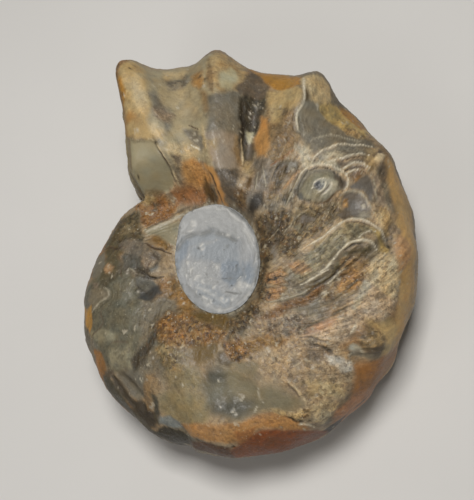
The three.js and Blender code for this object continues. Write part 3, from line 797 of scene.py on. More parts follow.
     "208,372 222,366 236,366 248,373 260,384 275,385 291,395 304,402 298,409 285,413 270,412 "
     "255,415 240,418 225,418 213,412 206,400 204,386"),
    ("blue stain of the floor", "charcoal olive", 3.6, 0.1, 0,
     "205,366 220,366 228,374 222,386 212,391 204,381"),
    ("second blue stain", "grey green", 4.0, 0.1, 0, "204,384 222,384 230,394 222,404 206,404"),
    ("dark stain of the floor", "charcoal olive", 4.0, 0.1, 0,
     "208,402 224,398 240,398 252,402 250,413 236,417 222,417 212,413"),
    ("ochre stain of the floor", "ochre olive", 2.6, 0.15, 0,
     "188,340 205,339 217,344 217,358 208,363 195,366 186,360"),
    ("mauve oval", "dark slope", 1.0, 0.1, 0.3, "218,353 225,350 233,352 237,358 231,365 222,363"),
    ("tan facet", "olive", 1.0, 0.2, 0, "231,364 240,359 252,359 259,368 252,379 244,379 236,372"),
    ("orange crumble", "orange crumb", 1.6, 0.8, 0,
     "222,341 232,337 245,341 249,352 241,359 233,358 227,351"),
    ("tan lumps over the floor", "olive tan", 1.4, 0.7, 0,
     "158,340 170,345 178,352 186,362 180,370 168,370 160,360 154,350"),
    ("orange ledge", "orange tan", 1.4, .3, 0,
     "181,425 195,422 210,423 226,424 240,421 255,416 270,412 285,414 299,420 310,428 300,431 "
     "285,429 270,429 255,431 246,440 235,443 222,443 208,442 195,438 187,432"),
    ("yellow edge over the ledge", "yellow tan", 1.2, .4, 0,
     "262,411 276,408 290,412 284,415 270,413"),
    ("rust end of the ledge", "rust", 1.4, .3, 0, "238,431 254,428 253,437 244,445 238,444"),
    # The belly faces down, away from the lamp: its two browns are its own colour darkened by painted
    # shade.
    ("brown belly", "venter brown", 1.5, .3, 0,
     "236,446 246,440 255,432 270,430 290,429 306,430 318,431 330,431 316,441 296,450 272,457 "
     "252,460 236,459 226,453"),
    ("mauve belly", "venter mauve", 1.4, .3, 0,
     "190,440 210,444 228,448 240,458 225,457 208,452 196,449"),
    ("yellow speckle of the lower edge", "pale tan", 1.0, .8, 0,
     "290,412 304,408 312,412 308,418 298,420 290,417"),
    ("grey country of the old whorl", "grey green", 2.5, .3, 0,
     "107,262 118,260 128,268 136,280 141,296 142,312 140,330 140,346 132,357 124,366 111,370 "
     "99,352 92,336 86,318 85,296 92,280 100,270"),
    ("pale flake of the old whorl", "warm grey", 1.2, 0.2, 0.3,
     "90,292 100,288 109,290 109,298 101,301 97,307 92,313 87,305"),
    ("lower pale flake", "pale olive", 1.5, .2, 0, "90,334 104,329 116,334 113,343 99,343"),
    ("amber edge of the old whorl", "bright ochre", .9, .2, 0,
     "84,309 91,307 93,318 93,327 91,334 86,328"),
    ("lower amber edge", "orange brown", .9, .2, 0,
     "94,350 101,353 106,366 106,376 103,382 97,370"),
    ("tan country of the lower left", "pale olive", 2.0, 0.3, 0,
     "108,350 130,345 138,356 132,368 118,372 110,370"),
    ("mauve country of the lower left", "dark grey", 2.0, 0.2, 0,
     "113,372 125,370 140,368 147,380 146,396 140,402 131,397 122,384"),
    ("dark band of the old whorl", "charcoal", 1.6, 0.5, -0.3,
     "157,316 162,322 158,336 152,346 146,356 141,368 134,372 130,362 136,352 143,344 149,334 "
     "152,322"),
    ("orange ridge", "brown tan", 1.4, .4, .4,
     "147,376 156,375 161,384 157,393 151,405 151,420 146,416 146,400 144,388"),
    ("black hollow", "black brown", 1.6, 0.3, -0.6,
     "130,402 138,399 145,402 148,410 156,412 158,424 150,428 141,422 134,412"),
    ("dark strip by the ridge", "charcoal olive", 1.0, 0.4, -0.2,
     "151,392 157,398 160,412 159,426 155,420 153,405"),
    ("black furrow", "black brown", 1.0, 0.2, -0.6,
     "114,374 119,380 125,389 131,397 137,405 134,410 125,400 117,390 112,382"),
    ("dark block", "umber grey", 1.0, .3, 0, "104,372 114,369 113,378 106,380"),
    ("pale outer rim", "charcoal olive", 1.2, 0.3, 0,
     "103,376 110,378 118,390 128,404 139,417 150,428 162,436 158,440 144,431 130,418 116,401 "
     "105,389"),
    ("dark ledge step", "dark ledge", 1.0, .3, 0,
     "155,427 168,427 180,430 189,437 193,446 180,446 164,439 152,432"),
    ("blue chalk over the step", "blue grey", .9, .3, 0,
     "160,416 170,416 179,421 183,428 170,427 159,424"),
    ("brown country by the break", "dark olive", 2.0, 0.5, 0,
     "116,221 130,215 140,214 143,226 143,241 138,249 125,251 114,256 104,250 110,236"),
    ("tan fleck by the break", "olive", 1.2, 0.4, 0, "122,226 133,223 136,231 128,236 121,233"),
    ("tan facet of the old rim", "warm grey", 0.8, 0.1, 0,
     "96,253 106,252 106,264 101,275 93,279 92,266"),
    ("dark block of the old whorl", "dark olive", 1.4, 0.3, 0,
     "106,250 117,252 119,266 116,276 105,286 98,283 102,272 107,262"),
    ("orange knob of the old whorl", "salmon", 1.2, 0.3, 0.2,
     "105,267 109,264 113,267 111,272 106,272"),
    ("salmon fleck of the old whorl", "mauve grey", 0.8, 0.3, 0, "92,283 97,282 99,288 94,290"),
    ("blue lumps", "cool grey", 1.8, 0.35, 0,
     "120,255 134,248 148,250 156,258 161,268 155,276 145,271 134,273 124,269"),
    ("tan lump", "mauve", 1.2, 0.4, 0.7, "143,256 150,250 157,258 153,267 146,271 142,265"),
    ("cavity", "slate", 1.4, 0.2, -0.5,
     "137,291 144,288 151,285 159,285 161,290 156,296 149,300 140,298"),
    ("mauve lumps of the old whorl", "mauve grey", 1.6, 0.4, 0.5,
     "120,243 132,240 144,243 156,247 163,255 160,262 150,259 140,257 128,256"),
    ("blue flake by the cavity", "cool grey", 1.0, 0.25, 0.3,
     "134,279 143,279 153,281 158,285 149,288 139,291 135,286"),
    ("dark heart of the old whorl", "charcoal", 1.4, .5, -.3,
     "134,266 141,268 149,273 150,279 143,279 136,275"),
    ("tan bank of the plug", "fine tan", 1.4, 0.3, 0,
     "160,250 172,248 175,262 173,276 165,279 160,268"),
    ("ochre bank of the plug", "ochre brown", 1.4, 0.35, 0,
     "153,238 165,236 173,245 169,251 158,247"),
    ("lower ochre bank", "ochre brown", 1.6, .4, 0,
     "163,285 177,277 185,289 193,302 200,310 190,311 177,307 168,299"),
    ("grey bank of the plug", "warm grey", 1.6, .3, 0,
     "149,300 165,297 178,298 177,306 161,313 149,309"),
    ("orange granules", "orange crumb", 2.0, 0.75, 0,
     "158,321 170,313 185,309 200,313 216,320 226,331 216,343 200,346 184,351 169,346 156,340"),
    ("smooth ochre below the plug", "ochre olive", 1.6, .3, 0,
     "193,312 215,312 231,317 227,328 211,326 198,322"),
    ("dark granules", "dark slope", 1.8, 0.8, 0,
     "254,301 263,309 256,321 241,331 228,337 228,322 240,313"),
    ("filler skirt", "skirt green", 1.2, .1, .3,
     "146,229 158,225 170,221 180,222 181,236 176,246 168,243 158,237 147,236"),
]
VEINS = [  # name, tone, width, lift in mm, line in pixels
    ("first arc", "vein grey", .55, .3,
     "311,141 316,138.5 322,137 328,135.5 335,135.5 342,137 350,139.5 358,141"),
    ("dark side of the second arc", "dark brown", .5, -.35,
     "313,163 316,158 319,153.5 323,150.5 327,149.5"),
    ("second arc", "vein white", 0.65, 0.5,
     "312,162 315,157 319,152 325,148.5 331,146.5 337,144.5 343,143.8 350,144.5 356,145.5 "
     "362,145 368,145.5 374,147"),
    ("splinter over the second arc", "vein grey", .45, .2, "357,143.5 362,140.5 367,141.5"),
    # Lines named shade are painted shade: a dark line beside a raised seam, sunk a little.
    ("shade of the third arc", "dark brown", .6, -.4,
     "339,160.5 345,159 351,157.5 357,156.5 363,155.5 368,157"),
    ("third arc", "vein white", 0.65, 0.5,
     "327,163 334,160.5 339,158.5 344,157 350,155.3 355,154.3 360,153.3 365,154 370,155.5"),
    ("fourth arc", "vein white", 0.65, 0.55,
     "343,169 347,165.8 352,163 357,162 362,163 365.5,165.5 370,168.5"),
    ("shade of the fourth arc", "black brown", .55, -.4,
     "345,171 350,168.5 356,166.3 361,166.5 364,168.5"),
    ("fifth arc", "vein white", 0.65, 0.45, "345,174.5 350,171.5 355,170 359,169.5 363,170.3"),
    ("shade of the fifth arc", "dark brown", .6, -.4, "347,178 351,174 356,172 361,171.5"),
    ("lid of the eye", "vein white", 0.55, 0.4,
     "296,183 299,177 303,171.5 308,167.5 314,165 321,164 329,165 337,167.5 344,171 348,177 "
     "348,184 344,190"),
    ("dark line of the eye", "charcoal", 0.5, -0.3,
     "299,199 297,192 298.5,185 302,178 306,172.5 311,169.5 318,167 325,167.5 332,170"),
    ("left lid of the eye", "vein grey", .5, .25, "293,201 292.5,194 294,187 296,183"),
    ("dark corner of the eye", "black brown", .8, -.4, "299,198 304,200.5 310,200.5"),
    ("lower line of the eye", "brown", .6, -.25, "310,202 318,204 326,202 332,197 337,192 343,188"),
    ("dark end of the eye", "black brown", .8, -.4, "333,171 339,176 343,182 341,188"),
    ("inner lash of the eye", "vein white", 0.5, 0.3, "312,188 314,182.7 319,179 325,178"),
    ("shade of the lashes", "slate", 0.45, -0.2, "320,191 323,187 324,182"),
    ("second shade of the lashes", "umber grey", 0.45, -0.2, "320.5,195 326,190 329,185 328,180.5"),
    ("white lash of the eye", "vein white", 0.55, 0.35, "317,193 323,190 326,185 325.5,180.4"),
    ("second lash of the eye", "vein white", 0.5, 0.3, "321,196 328,191.5 332,186 331,181"),
    ("third lash of the eye", "vein grey", .5, .25, "326,197 332.7,192.7 337.3,187.3 335.8,181"),
    ("blue lash outside the eye", "vein grey", .6, .3, "286,205 289,198 292,192 295,185 299,179"),
    ("purple lid", "vein grey", .7, .4,
     "340,196 345,192.3 350,191 356,191.3 361,193.3 365,197 368,202 371,208 374,213"),
    ("outer purple lid", "vein grey", .6, .3,
     "366,168 370,172.5 373,179 375,187 376,196 378,205 380,210"),
    ("shade of the outer lid", "dark brown", .5, -.3, "371,178 373,187 374,197 376,206"),
    ("dark line in the strip", "dark brown", .5, -.3, "378,182 380,189 381,197"),
    ("first crescent", "vein white", 0.7, 0.7,
     "305,247 312,243.5 319,239.5 325,235.5 331,231.5 337,227 342,223 347,220.3 352,219 "
     "358,218.8 364,219.8 370,222.3 375,226 380,230.5 384,236 386,242 387,247"),
    ("shade under the first crescent", "umber grey", .6, -.4,
     "345,224 351,221.8 358,221.5 365,223 371,226 376,230"),
    ("second crescent", "vein white", 0.8, 0.7,
     "320,272 326,268 331,263 335,258 339,252 344,247 349,243 354,240.7 360,239.7 366,240.3 "
     "371,242.3 375,246 377,250"),
    ("shade under the second crescent", "black brown", .7, -.5,
     "345,250 350,246 355,243.7 361,243.3 367,245"),
    ("small crescent", "vein white", 0.6, 0.4, "358,237 362,233.5 367,231.5 372,231 376,232"),
    ("hook of the small crescent", "vein grey", .5, .3, "381,239 384,237.5 387,238"),
    ("third flow line", "vein white", 0.6, 0.4,
     "300,285 305,283 310,280 315,277 320,273.5 327,270"),
    ("fourth flow line", "vein white", 0.6, 0.4, "327,284 331,280 335,275.5 340,272 346,268.5"),
    ("fifth flow line", "vein grey", .5, .3, "318,302.5 322,298.5 326,294.5 330,291"),
    ("pale thread by the plug", "vein grey", .5, .3,
     "265,302 275,301.3 285,299.5 295,296.5 303,292.5 308,289"),
    ("little ring", "vein grey", .5, .3, "287,291 290,288.3 294,288.8 297,292 296,296"),
    ("thread on the slope", "vein grey", .5, .3, "268,239.5 273,234.5 278,229.5"),
    ("third crack of the salmon", "black brown", .5, -.4, "269,298 272,293 278,294 282,290"),
    ("second crack of the salmon", "black brown", .55, -.4,
     "266,288 272,287 277,289 283,285 288,286"),
    ("crack of the salmon patch", "black brown", .55, -.4,
     "266,284 270,279 275,281 279,276 284,277"),
    ("second thread on the slope", "vein grey", .5, .3, "284,232 289,226.5 295,222"),
    ("band under the eye", "vein grey", .55, .3, "290,226 294,220 299,215 304,211 309,209"),
    ("white streak of the lower right", "vein white", .9, .5, "358,320 356,326 353,331 349,337"),
    ("thread of the golden rim", "vein grey", .5, .2, "402,262 401,270 400,280 398,291"),
    ("white crack", "vein white", .75, .5,
     "304.5,78 304.5,88 304.5,98 302,106 297.5,111.5 296.5,119 297,126 299,131"),
    ("edge of the chip", "vein cream", 0.7, 0.3,
     "148,138.8 153,139.5 157,146 162,153 167,161 172,169 176,178 180,186"),
    ("shade of the chip's edge", "umber grey", .6, -.5, "155,147 160,154 165,162 170,170 173,178"),
    ("line of the mauve rib", "vein cream", .6, .2, "241.5,138 242.5,150 242.3,165"),
    ("pale line of the rib's foot", "vein grey", .5, .2, "257,172 256,181 255,190"),
    ("second line of the rib's foot", "vein grey", .5, .2, "262,166 264,177 266,187"),
    ("rust line by the rib", "rust", .7, -.2, "270,165 276,162 282,158 288,153 294,150"),
    ("dark line by the rib", "black brown", .6, -.3, "272,178 275,170 280,164 286,160"),
    ("salmon streak above the eye", "salmon", 1.2, .3, "284,188 289,182 294,176 300,171"),
    ("dark line of the field", "dark brown", .6, -.3, "189,125 193,127 198,129.5"),
    # A painted highlight: white glints on the grey flake.
    ("white chips of the flake", "vein white", .6, .3, "191,145 194,147 199,150"),
    ("dark line of the column", "dark brown", .6, -.4, "208,170 213,181 218,193 223,204"),
    ("cave line of the lower right", "black brown", .8, -.9,
     "312,344 318,345 325,347.5 331,352 336,357.5 342,360.5"),
    ("shade under the orange ledge", "black brown", .8, -.7,
     "192,439 200,441.5 208,443.5 216,446 224,447.5 234,447"),
    ("slot of the lower edge", "black brown", .8, -.8, "293,420 299,422.5 305,421.5 311,421"),
    ("white sill of the slot", "vein white", .8, .2, "295,424.5 302,424 309,424.5 314,427"),
    ("dark notch of the lower edge", "black brown", .7, -.5, "286,416.5 291,418 295,419.5"),
    ("dark diagonal", "dark brown", .6, -.4, "286,383 291,388 296,393 302,400"),
    ("pale side of the diagonal", "vein cream", .6, .3,
     "290,384 295,388.5 300,394 304,400 311,401.5"),
    ("pale fleck row of the floor", "vein grey", .8, .1, "258,388 258,395 260,401"),
    # Painted shade: the dark line where the whorl turns down to the seam above the plug.
    ("brown line above the plug", "umber grey", .9, -.4,
     "147,229 155,225 163,221 172,216 181,211 190,206.5"),
    ("smear of filler", "filler cream", 1.6, .5,
     "147,232 154,228.5 161,225 168,221.5 175,218.5 183,214.5"),
    ("pale hem of the plug", "vein cream", .6, .3, "180,284 184,290 188,295 192,300"),
    ("bottom of the black furrow", "black brown", 1.2, -0.5,
     "112,377 118,385 124,393 130,401 136,410 143,419"),
    ("black foot of the third rib", "black brown", 1.6, -.3, "258,196 262,202 266,209"),
    ("crease through the lumps", "black brown", .8, -.5, "137,268 142,272 148,277 156,279 164,277"),
    ("crease over the lumps", "dark brown", .8, -.4, "104,251 110,247 117,249 123,246"),
    ("crease between the lumps", "dark brown", .7, -.4, "150,262 147,268 151,274"),
    ("crease under the flake", "black brown", .8, -.4, "136,285 141,290 147,292"),
    ("crease of the block", "dark brown", .6, -.4, "118,256 121,264 120,273 124,280"),
    ("pale edge of the lumps", "vein grey", 0.4, 0.2, "128,268 133,270 137,275"),
    ("dark line over the bank", "dark brown", 0.9, -0.6,
     "146,243.5 151,246.5 156,249 162,249.5 166,252 171,253.5"),
    ("dark line of the cavity", "black brown", .8, -.5, "135,275 141,278 148,278 155,279"),
    ("edge of the pale flake", "vein grey", .6, .4,
     "92,313 97,306 102,300 109,297 109,290 103,287"),
    ("step of the old whorl", "umber grey", .6, -.4, "93,335 99,330 104,322 100,314 104,306"),
    ("second step of the old whorl", "umber grey", .6, -.4, "110,350 110,343 118,341 127,343"),
    ("line at the foot of the pink field", "umber grey", .6, -.4,
     "300,338 310,337 318,340 330,343"),
    ("crease under the second crescent", "black brown", .8, -.5,
     "303,296 312,290 322,284 332,276 341,267 350,259"),
    ("crease over the pink field", "dark olive", .7, -.45, "332,300 345,291 355,282 361,273"),
    ("crease of the pink field", "dark olive", .6, -.4, "302,330 318,322 335,313 349,306"),
    ("crack through the dark field", "black brown", .8, -.6,
     "243,99 244,108 242,118 245,128 244,140 243,152"),
]
SPOTS = [  # name, tone, middles in pixels and radii in mm
    # The white spots are painted glints: small highlights on the wet-looking stone, painted as colour.
    ("white crystals", "white stone",
     "187,81,0.6 250,114,0.6 250,119,0.5 128,270,0.6 127,273,0.5 138,292,0.5 232,412,0.6 "
     "236,414,0.7 234,409,0.4 221,407,0.4 238,194,0.5 278,137,0.4 286,135,0.5 285,140,0.5 "
     "147,380,0.5 346,294,0.5 373,333,0.6 269,352,0.7 267,349,0.6 317,395,0.7 184,303,0.5 "
     "182,298,0.4 245,312,0.4 257,310,0.4 252,306,0.4 241,306,0.4 398,249,0.4 365,270,0.4 "
     "394,243,0.4 153,358,0.5 150,352,0.4 176,377,0.4 178,360,0.5 290,247,0.4 261,107,0.5 "
     "257,109,0.5"),
    ("dark pits", "black brown",
     "155,143,.8 138,178,.8 200,76,.9 205,79,.7 130,68,.7 134,66,.6 386,240,1.6 388,246,1.5 "
     "391,238,1.0 381,151,1.0 332,268,.6  141,412,2.0 146,418,2.0 224,345,.8 240,356,1.0 "
     "246,353,.8 269,280,1.0 275,278,1.0 268,293,.8 236,352,.9 251,357,.8"),
]

# %% [markdown]
# ## Laying the marks on the stone
#
# Each pixel of a mark becomes a place on the surface. The grid's corners are looked at through the
# camera, and the ones that it sees are kept: they face it, and nothing nearer covers them. A mark's
# pixel then takes the mean of the four seen corners round it. For the stone the place is read laid
# flat, in millimetres from the coil axis, measured out over the crown and down the rim.

# %% Lay the marks on the stone
COVER_CELL, COVER_DEPTH, LEAST_GAP = 2, 0.004, 0.1  # pixels, metres, pixels


def outline_of(text):
    """The corners written as 'x,y x,y ...', as an array with one row for each."""
    return np.array([[float(v) for v in pair.split(",")] for pair in text.split()])


def grid_normals(grid):
    """Unit cross product of the steps along a ring and from ring to ring."""
    along = np.roll(grid, -1, 1) - np.roll(grid, 1, 1)
    out = np.gradient(grid, axis=0)
    normal = np.cross(out, along)
    return normal / np.maximum(1e-9, np.linalg.norm(normal, axis=-1, keepdims=True))


def seen_corners(grid, normals, flat_x, flat_y):
    """Pixels and flat places of the corners that face the camera and that nothing covers."""
    pixels, depth = picture_place(grid)
    facing = ((EYE - AXIS) / MM - grid) * normals
    cell = (pixels // COVER_CELL).astype(int) @ [1, PICTURE_WIDE]
    nearest = np.full(cell.max() + 1, np.inf)
    np.minimum.at(nearest, cell, depth)
    seen = (facing.sum(-1) > 0) & (depth < nearest[cell] + COVER_DEPTH)
    return pixels[seen], np.stack([flat_x[seen], flat_y[seen]], -1)


def laid_marks(marks, pixels, flat):
    """Each pixel of the marks becomes the mean of its four nearest corners, near ones more."""
    laid = []
    for mark in marks:
        rows = outline_of(mark[-1])
        gap = np.hypot(pixels[:, 0] - rows[:, :1], pixels[:, 1] - rows[:, 1:2])
        four = np.argpartition(gap, 4, axis=1)[:, :4]
        weight = 1 / (np.take_along_axis(gap, four, 1) + LEAST_GAP)
        place = (flat[four] * weight[..., None]).sum(1) / weight.sum(1)[:, None]
        laid.append((*mark[:-1], np.hstack([place, rows[:, 2:]])))
    return laid


stone_normals = grid_normals(stone_grid)
angle = np.radians(SPOKES["angle"])
seen = seen_corners(stone_grid, stone_normals, SPREAD * np.cos(angle), SPREAD * np.sin(angle))
STONE_ZONES, STONE_VEINS, STONE_SPOTS = (laid_marks(marks, *seen) for marks in (ZONES, VEINS, SPOTS))
print(len(seen[0]), "corners seen;", sum(len(zone[-1]) for zone in STONE_ZONES), "zone corners laid")

# %% [markdown]
# ## Drawing the marks on the surface
#
# The marks are worked out on every point of the grid at once. The distance to a line is the
# smallest distance to any of its pieces; inside an area the sign is turned by counting how many
# edges a level line crosses. Before that, each point is moved a little by cloud noise, so that no
# edge runs straight. Colour and relief come from the same distances, so a pale seam is also a
# ridge.

# %% Define how a mark is measured
def line_distance(x, y, corners):
    """The smallest distance from each point to the pieces between the corners."""
    best = np.full(x.shape, 1e9)
    for (ax, ay), (bx, by) in zip(corners[:-1], corners[1:]):
        dx, dy = bx - ax, by - ay
        share = ((x - ax) * dx + (y - ay) * dy) / (dx * dx + dy * dy + 1e-9)
        share = np.clip(share, 0, 1)
        best = np.minimum(best, np.hypot(x - ax - share * dx, y - ay - share * dy))
    return best


def inside(x, y, corners):
    """True where a level line from the point crosses an odd number of edges."""
    odd = np.zeros(x.shape, bool)
    for (ax, ay), (bx, by) in zip(corners, np.roll(corners, -1, 0)):
        if ay != by:
            odd ^= ((ay > y) != (by > y)) & (x < (bx - ax) * (y - ay) / (by - ay) + ax)
    return odd


def near(x, y, corners, reach):
    """The points within reach of the corners' box, so that far ones cost nothing."""
    low, high = corners.min(0) - reach, corners.max(0) + reach
    return (x > low[0]) & (x < high[0]) & (y > low[1]) & (y < high[1])


def rounded(corners):
    """A line with two new points cut in at each piece, to round its corners off."""
    cut = np.stack([mix(corners[:-1], corners[1:], 0.25), mix(corners[:-1], corners[1:], 0.75)], 1)
    return np.vstack([corners[:1], cut.reshape(-1, 2), corners[-1:]])


def zone_share(x, y, corners, soft):
    """1 inside the outline and 0 outside, with a smooth step as wide as twice the softness."""
    share = np.zeros(x.shape)
    at = near(x, y, corners, soft)
    distance = line_distance(x[at], y[at], np.vstack([corners, corners[:1]]))
    signed = np.where(inside(x[at], y[at], corners), distance, -distance)
    share[at] = smooth(-soft, soft, signed)
    return share


def vein_share(x, y, corners, width):
    """A bell of the distance to the line, thinned towards its ends, and the distance itself."""
    share, distance = np.zeros(x.shape), np.full(x.shape, 99.0)
    line = rounded(corners)
    at = near(x, y, line, 12)
    distance[at] = line_distance(x[at], y[at], line)
    ends = np.minimum(
        np.hypot(x[at] - line[0, 0], y[at] - line[0, 1]),
        np.hypot(x[at] - line[-1, 0], y[at] - line[-1, 1]),
    )
    thin = width * (0.45 + 0.55 * smooth(0, 5, ends))
    share[at] = bell(distance[at] / thin)
    return share, distance


test_share, _ = vein_share(np.array([5.0]), np.array([1.0]), np.array([[0.0, 0.0], [10.0, 0.0]]), 2.0)
print("1 mm beside a line of width 2 mm the mark's share is", test_share.round(2))

# %% [markdown]
# ## Flow lines
#
# On the right of the flank the folded seams are crushed into streaks that run out and forward,
# like grain in wood. A streak is cloud noise that is stretched along that direction. So every point
# gets a second place, on a cylinder: its turn less a share of the log of its radius goes round it,
# and the log of the radius goes along it, squeezed, which makes any noise long that way. On a
# cylinder the last spoke meets the first, so no seam shows.

# %% Define the streaks
FLOW_TURN = 50  # mm, the radius of the cylinder and the place where its scale is true
FLOW_SQUEEZE = 5


def flow_place(x, y):
    """(T cos q, T sin q, T log(r / T) / squeeze), with q = turn - lean log(r / T)."""
    turn = np.arctan2(y, x)
    out = np.log(np.maximum(np.hypot(x, y), 8) / FLOW_TURN)
    lean = 0.9 * (1 - smooth(0.2, 1.2, turn)) * smooth(-2.2, -1.2, turn)
    round_it = turn - lean * out
    return FLOW_TURN * np.stack([np.cos(round_it), np.sin(round_it), out / FLOW_SQUEEZE], -1)


def flow_strength(x, y):
    """Where streaks show: strong on the right of the flank, weaker along the ribs."""
    turn = np.degrees(np.arctan2(y, x))
    right = smooth(-58, -28, turn) * (1 - smooth(40, 60, turn))
    ribs = 0.45 * smooth(40, 60, turn) * (1 - smooth(120, 135, turn))
    radius = np.hypot(x, y)
    return (0.12 + right + ribs) * smooth(24, 34, radius) * (1 - 0.7 * smooth(92, 104, radius))


print("streaks at", flow_strength(np.array([50.0]), np.array([0.0])), "of full strength on the right")

# %% [markdown]
# ## Colour and relief of the whole stone
#
# One function does the drawing. It starts from a quiet mixture of tan, grey and rust brown, which
# shows wherever no zone lies, lays the zones over it, then the veins and spots, and adds up their
# relief. The noises come in at the strength of the crumb, so a smooth chip stays smooth and the
# granular ground below the plug breaks up into orange and brown grains.

# %% Define the drawing of the marks
FOLDED_RISE = 0.3  # mm; seams that stand higher than this have folds beside them
FOLD_STEP, FOLD_REACH = 1.9, 5.0  # mm
VEIN_WIDTH, FINEST_VEIN = 0.7, 0.4  # mm of half width for a listed width of 1, and at least
STREAK_CRUMB = 0.35  # smoother ground than this shows its streaks weakly
FRAGMENTS = ["dark brown", "brown", "orange brown", "cool grey", "fine tan", "pale tan"]


def wandering(place, spread_x, spread_y):
    """The spread place moved by clouds, far for zones and little for veins."""
    bend_x = 1.5 * clouds(place, 6, 5) + 0.7 * clouds(place, 2.2, 6)
    bend_y = 1.5 * clouds(place, 6, 7) + 0.7 * clouds(place, 2.2, 8)
    far = spread_x + bend_x, spread_y + bend_y
    little = spread_x + 0.25 * bend_x, spread_y + 0.25 * bend_y
    return far, little


def draw_zones(place, x, y):
    """The ground of tan, grey and rust, with the zones laid over it."""
    wide = smooth(-0.4, 0.5, rubble(place, 22, 1))[..., None]
    rusty = smooth(0.2, 0.9, rubble(place, 30, 11))[..., None]
    colour = mix(linear("fine tan"), linear("warm grey"), wide)
    colour = mix(colour, linear("orange brown"), 0.7 * rusty)
    crumb, lift = np.full(x.shape, 0.35), np.zeros(x.shape)
    for _, tone, soft, grain, rise, corners in STONE_ZONES:
        share = zone_share(x, y, corners, soft)
        colour = mix(colour, linear(tone), share[..., None])
        crumb = mix(crumb, grain, share)
        lift = lift + rise * share
    return colour, crumb, lift


def weather(place, spread_x, spread_y, colour, crumb, lift):
    """Breaks the zones up: clouds, creases, fragments of other minerals, streaks, and painted shade."""
    flow = flow_place(spread_x, spread_y)
    strength = flow_strength(spread_x, spread_y) * smooth(0, STREAK_CRUMB, crumb)
    streak = clouds(flow, 1.7, 21) + 0.7 * clouds(flow, 0.9, 22)
    thread = 1 - 2.2 * np.abs(clouds(flow, 1.3, 23)) ** 0.7
    warped = place + 0.7 * np.stack([clouds(place, 1.8, 32 + k) for k in range(3)], -1)
    flake, _ = chips(warped, 2.6, 31)
    grain, _ = chips(warped, 1.35, 41)
    cloud, fine = rubble(place, 9, 51), rubble(place, 2.4, 61)
    # The creases sink in and are darkened as well: painted shade in them.
    crease = bell(rubble(place, 7, 66) / 0.16)
    rough = 0.25 + crumb
    lift = lift + rough * (0.34 * cloud + 0.16 * fine - 0.30 * crease)
    lift = lift + strength * rough * (0.36 * streak + 0.20 * thread)
    lift = lift + crumb * (0.26 * flake + 0.20 * grain)
    pick = ((grain * 0.499 + 0.5) * len(FRAGMENTS)).astype(int)
    other = np.array([linear(tone) for tone in FRAGMENTS])[pick]
    colour = mix(colour, other, (0.30 * smooth(0.1, 1.0, crumb))[..., None])
    # The tone rises and falls with the same noises as the relief, paler where it stands up and darker
    # where it sinks: painted light and shade over the mottling.
    light = 0.10 * cloud + 0.14 * fine * rough - 0.16 * crease * rough
    light = light + 0.10 * flake * (0.2 + crumb) + strength * (0.20 * streak + 0.12 * thread)
    warm = (0.6 * clouds(place, 4, 71) + 0.5 * flake * crumb)[..., None] * np.array([0.12, 0.0, -0.18])
    return colour * (1 + light)[..., None] * (1 + warm), lift


def draw_veins(place, x, y, colour, lift):
    """Pale seams that stand up, cracks and painted shade that sink in, and fine folds beside the seams.
    """
    nearest = np.full(x.shape, 99.0)
    broken = mix(0.4, 1, smooth(-0.6, 0.1, clouds(place, 2.6, 84)))
    for _, tone, width, rise, corners in STONE_VEINS:
        share, distance = vein_share(x, y, corners, max(FINEST_VEIN, VEIN_WIDTH * width))
        share = np.clip(share * (0.92 + 0.45 * clouds(place, 2.0, 81)), 0, 1)
        if rise < 0:
            share = share * broken
        colour = mix(colour, linear(tone), np.minimum(1, 1.15 * share)[..., None])
        lift = lift + rise * share
        if rise > FOLDED_RISE:
            nearest = np.minimum(nearest, distance)
    folds = np.cos(2 * np.pi * (nearest / FOLD_STEP + 0.9 * clouds(place, 7, 82)))
    folds = folds * bell(nearest / FOLD_REACH) * smooth(0.8, 1.8, nearest)
    # The folds' colour follows their relief, paler on the crests and darker in the troughs: painted
    # light and shade.
    return colour * (1 + 0.13 * folds)[..., None], lift + 0.13 * folds


def draw_spots(x, y, colour):
    """Painted glints and dark pits."""
    for _, tone, spots in STONE_SPOTS:
        for spot_x, spot_y, radius in spots:
            at = near(x, y, np.array([[spot_x, spot_y]]), 3 * radius)
            share = bell(np.hypot(x[at] - spot_x, y[at] - spot_y) / radius)
            colour[at] = mix(colour[at], linear(tone), share[..., None])
    return colour


def draw_stone(place, spread_x, spread_y):
    """Colour, relief in mm and crumb at each point, from the marks and the noises."""
    far, little = wandering(place, spread_x, spread_y)
    colour, crumb, lift = draw_zones(place, *far)
    colour, lift = weather(place, spread_x, spread_y, colour, crumb, lift)
    colour, lift = draw_veins(place, *little, colour, lift)
    return draw_spots(*little, colour), lift, crumb


print(len(FRAGMENTS), "tones for the fragments; folds every", FOLD_STEP, "mm")

# %% [markdown]
# ## Over the rim and underneath
#
# The flat lists stop where the camera stops seeing. A real fossil has patches of the same minerals
# on its underside too, so past the middle of the rim each point reads the marks on the way back
# in. It is sheared round more and more as it goes, so the underside doesn't mirror the top.

# %% Draw the whole stone
UNDER_SHEAR, SHEAR_FROM, SHEAR_TO = 75, 4, 60  # degrees, mm past the rim's middle


def folded_over(spread, rim_spread, angle):
    """Where a point reads the marks: past the rim's middle the way back in, sheared round."""
    past = np.maximum(0, spread - rim_spread)
    turned = np.radians(angle + UNDER_SHEAR * smooth(SHEAR_FROM, SHEAR_TO, past))
    reach = np.maximum(6, spread - 2 * past)
    return reach * np.cos(turned), reach * np.sin(turned)


spread_x, spread_y = folded_over(SPREAD, upper_spread[-1], SPOKES["angle"])
stone_colour, stone_lift, stone_crumb = draw_stone(stone_grid, spread_x, spread_y)
print("relief of the marks from", stone_lift.min().round(2), "to", stone_lift.max().round(2), "mm")

# %% [markdown]
# ## The broken end
#
# Where the last whorl broke off, the inside of the cast shows: an uneven olive core, crossed by pale
# seams, inside the thin ochre rind that the shell left. Seams are where a noise passes through
# zero, since that makes long thin lines. Depth from the face's edges tells core from rind.

# %% Draw the broken end
BREAK_ROUGH, BREAK_RIND, BREAK_SEAM = 1.7, 5.0, 0.07  # mm, mm, noise


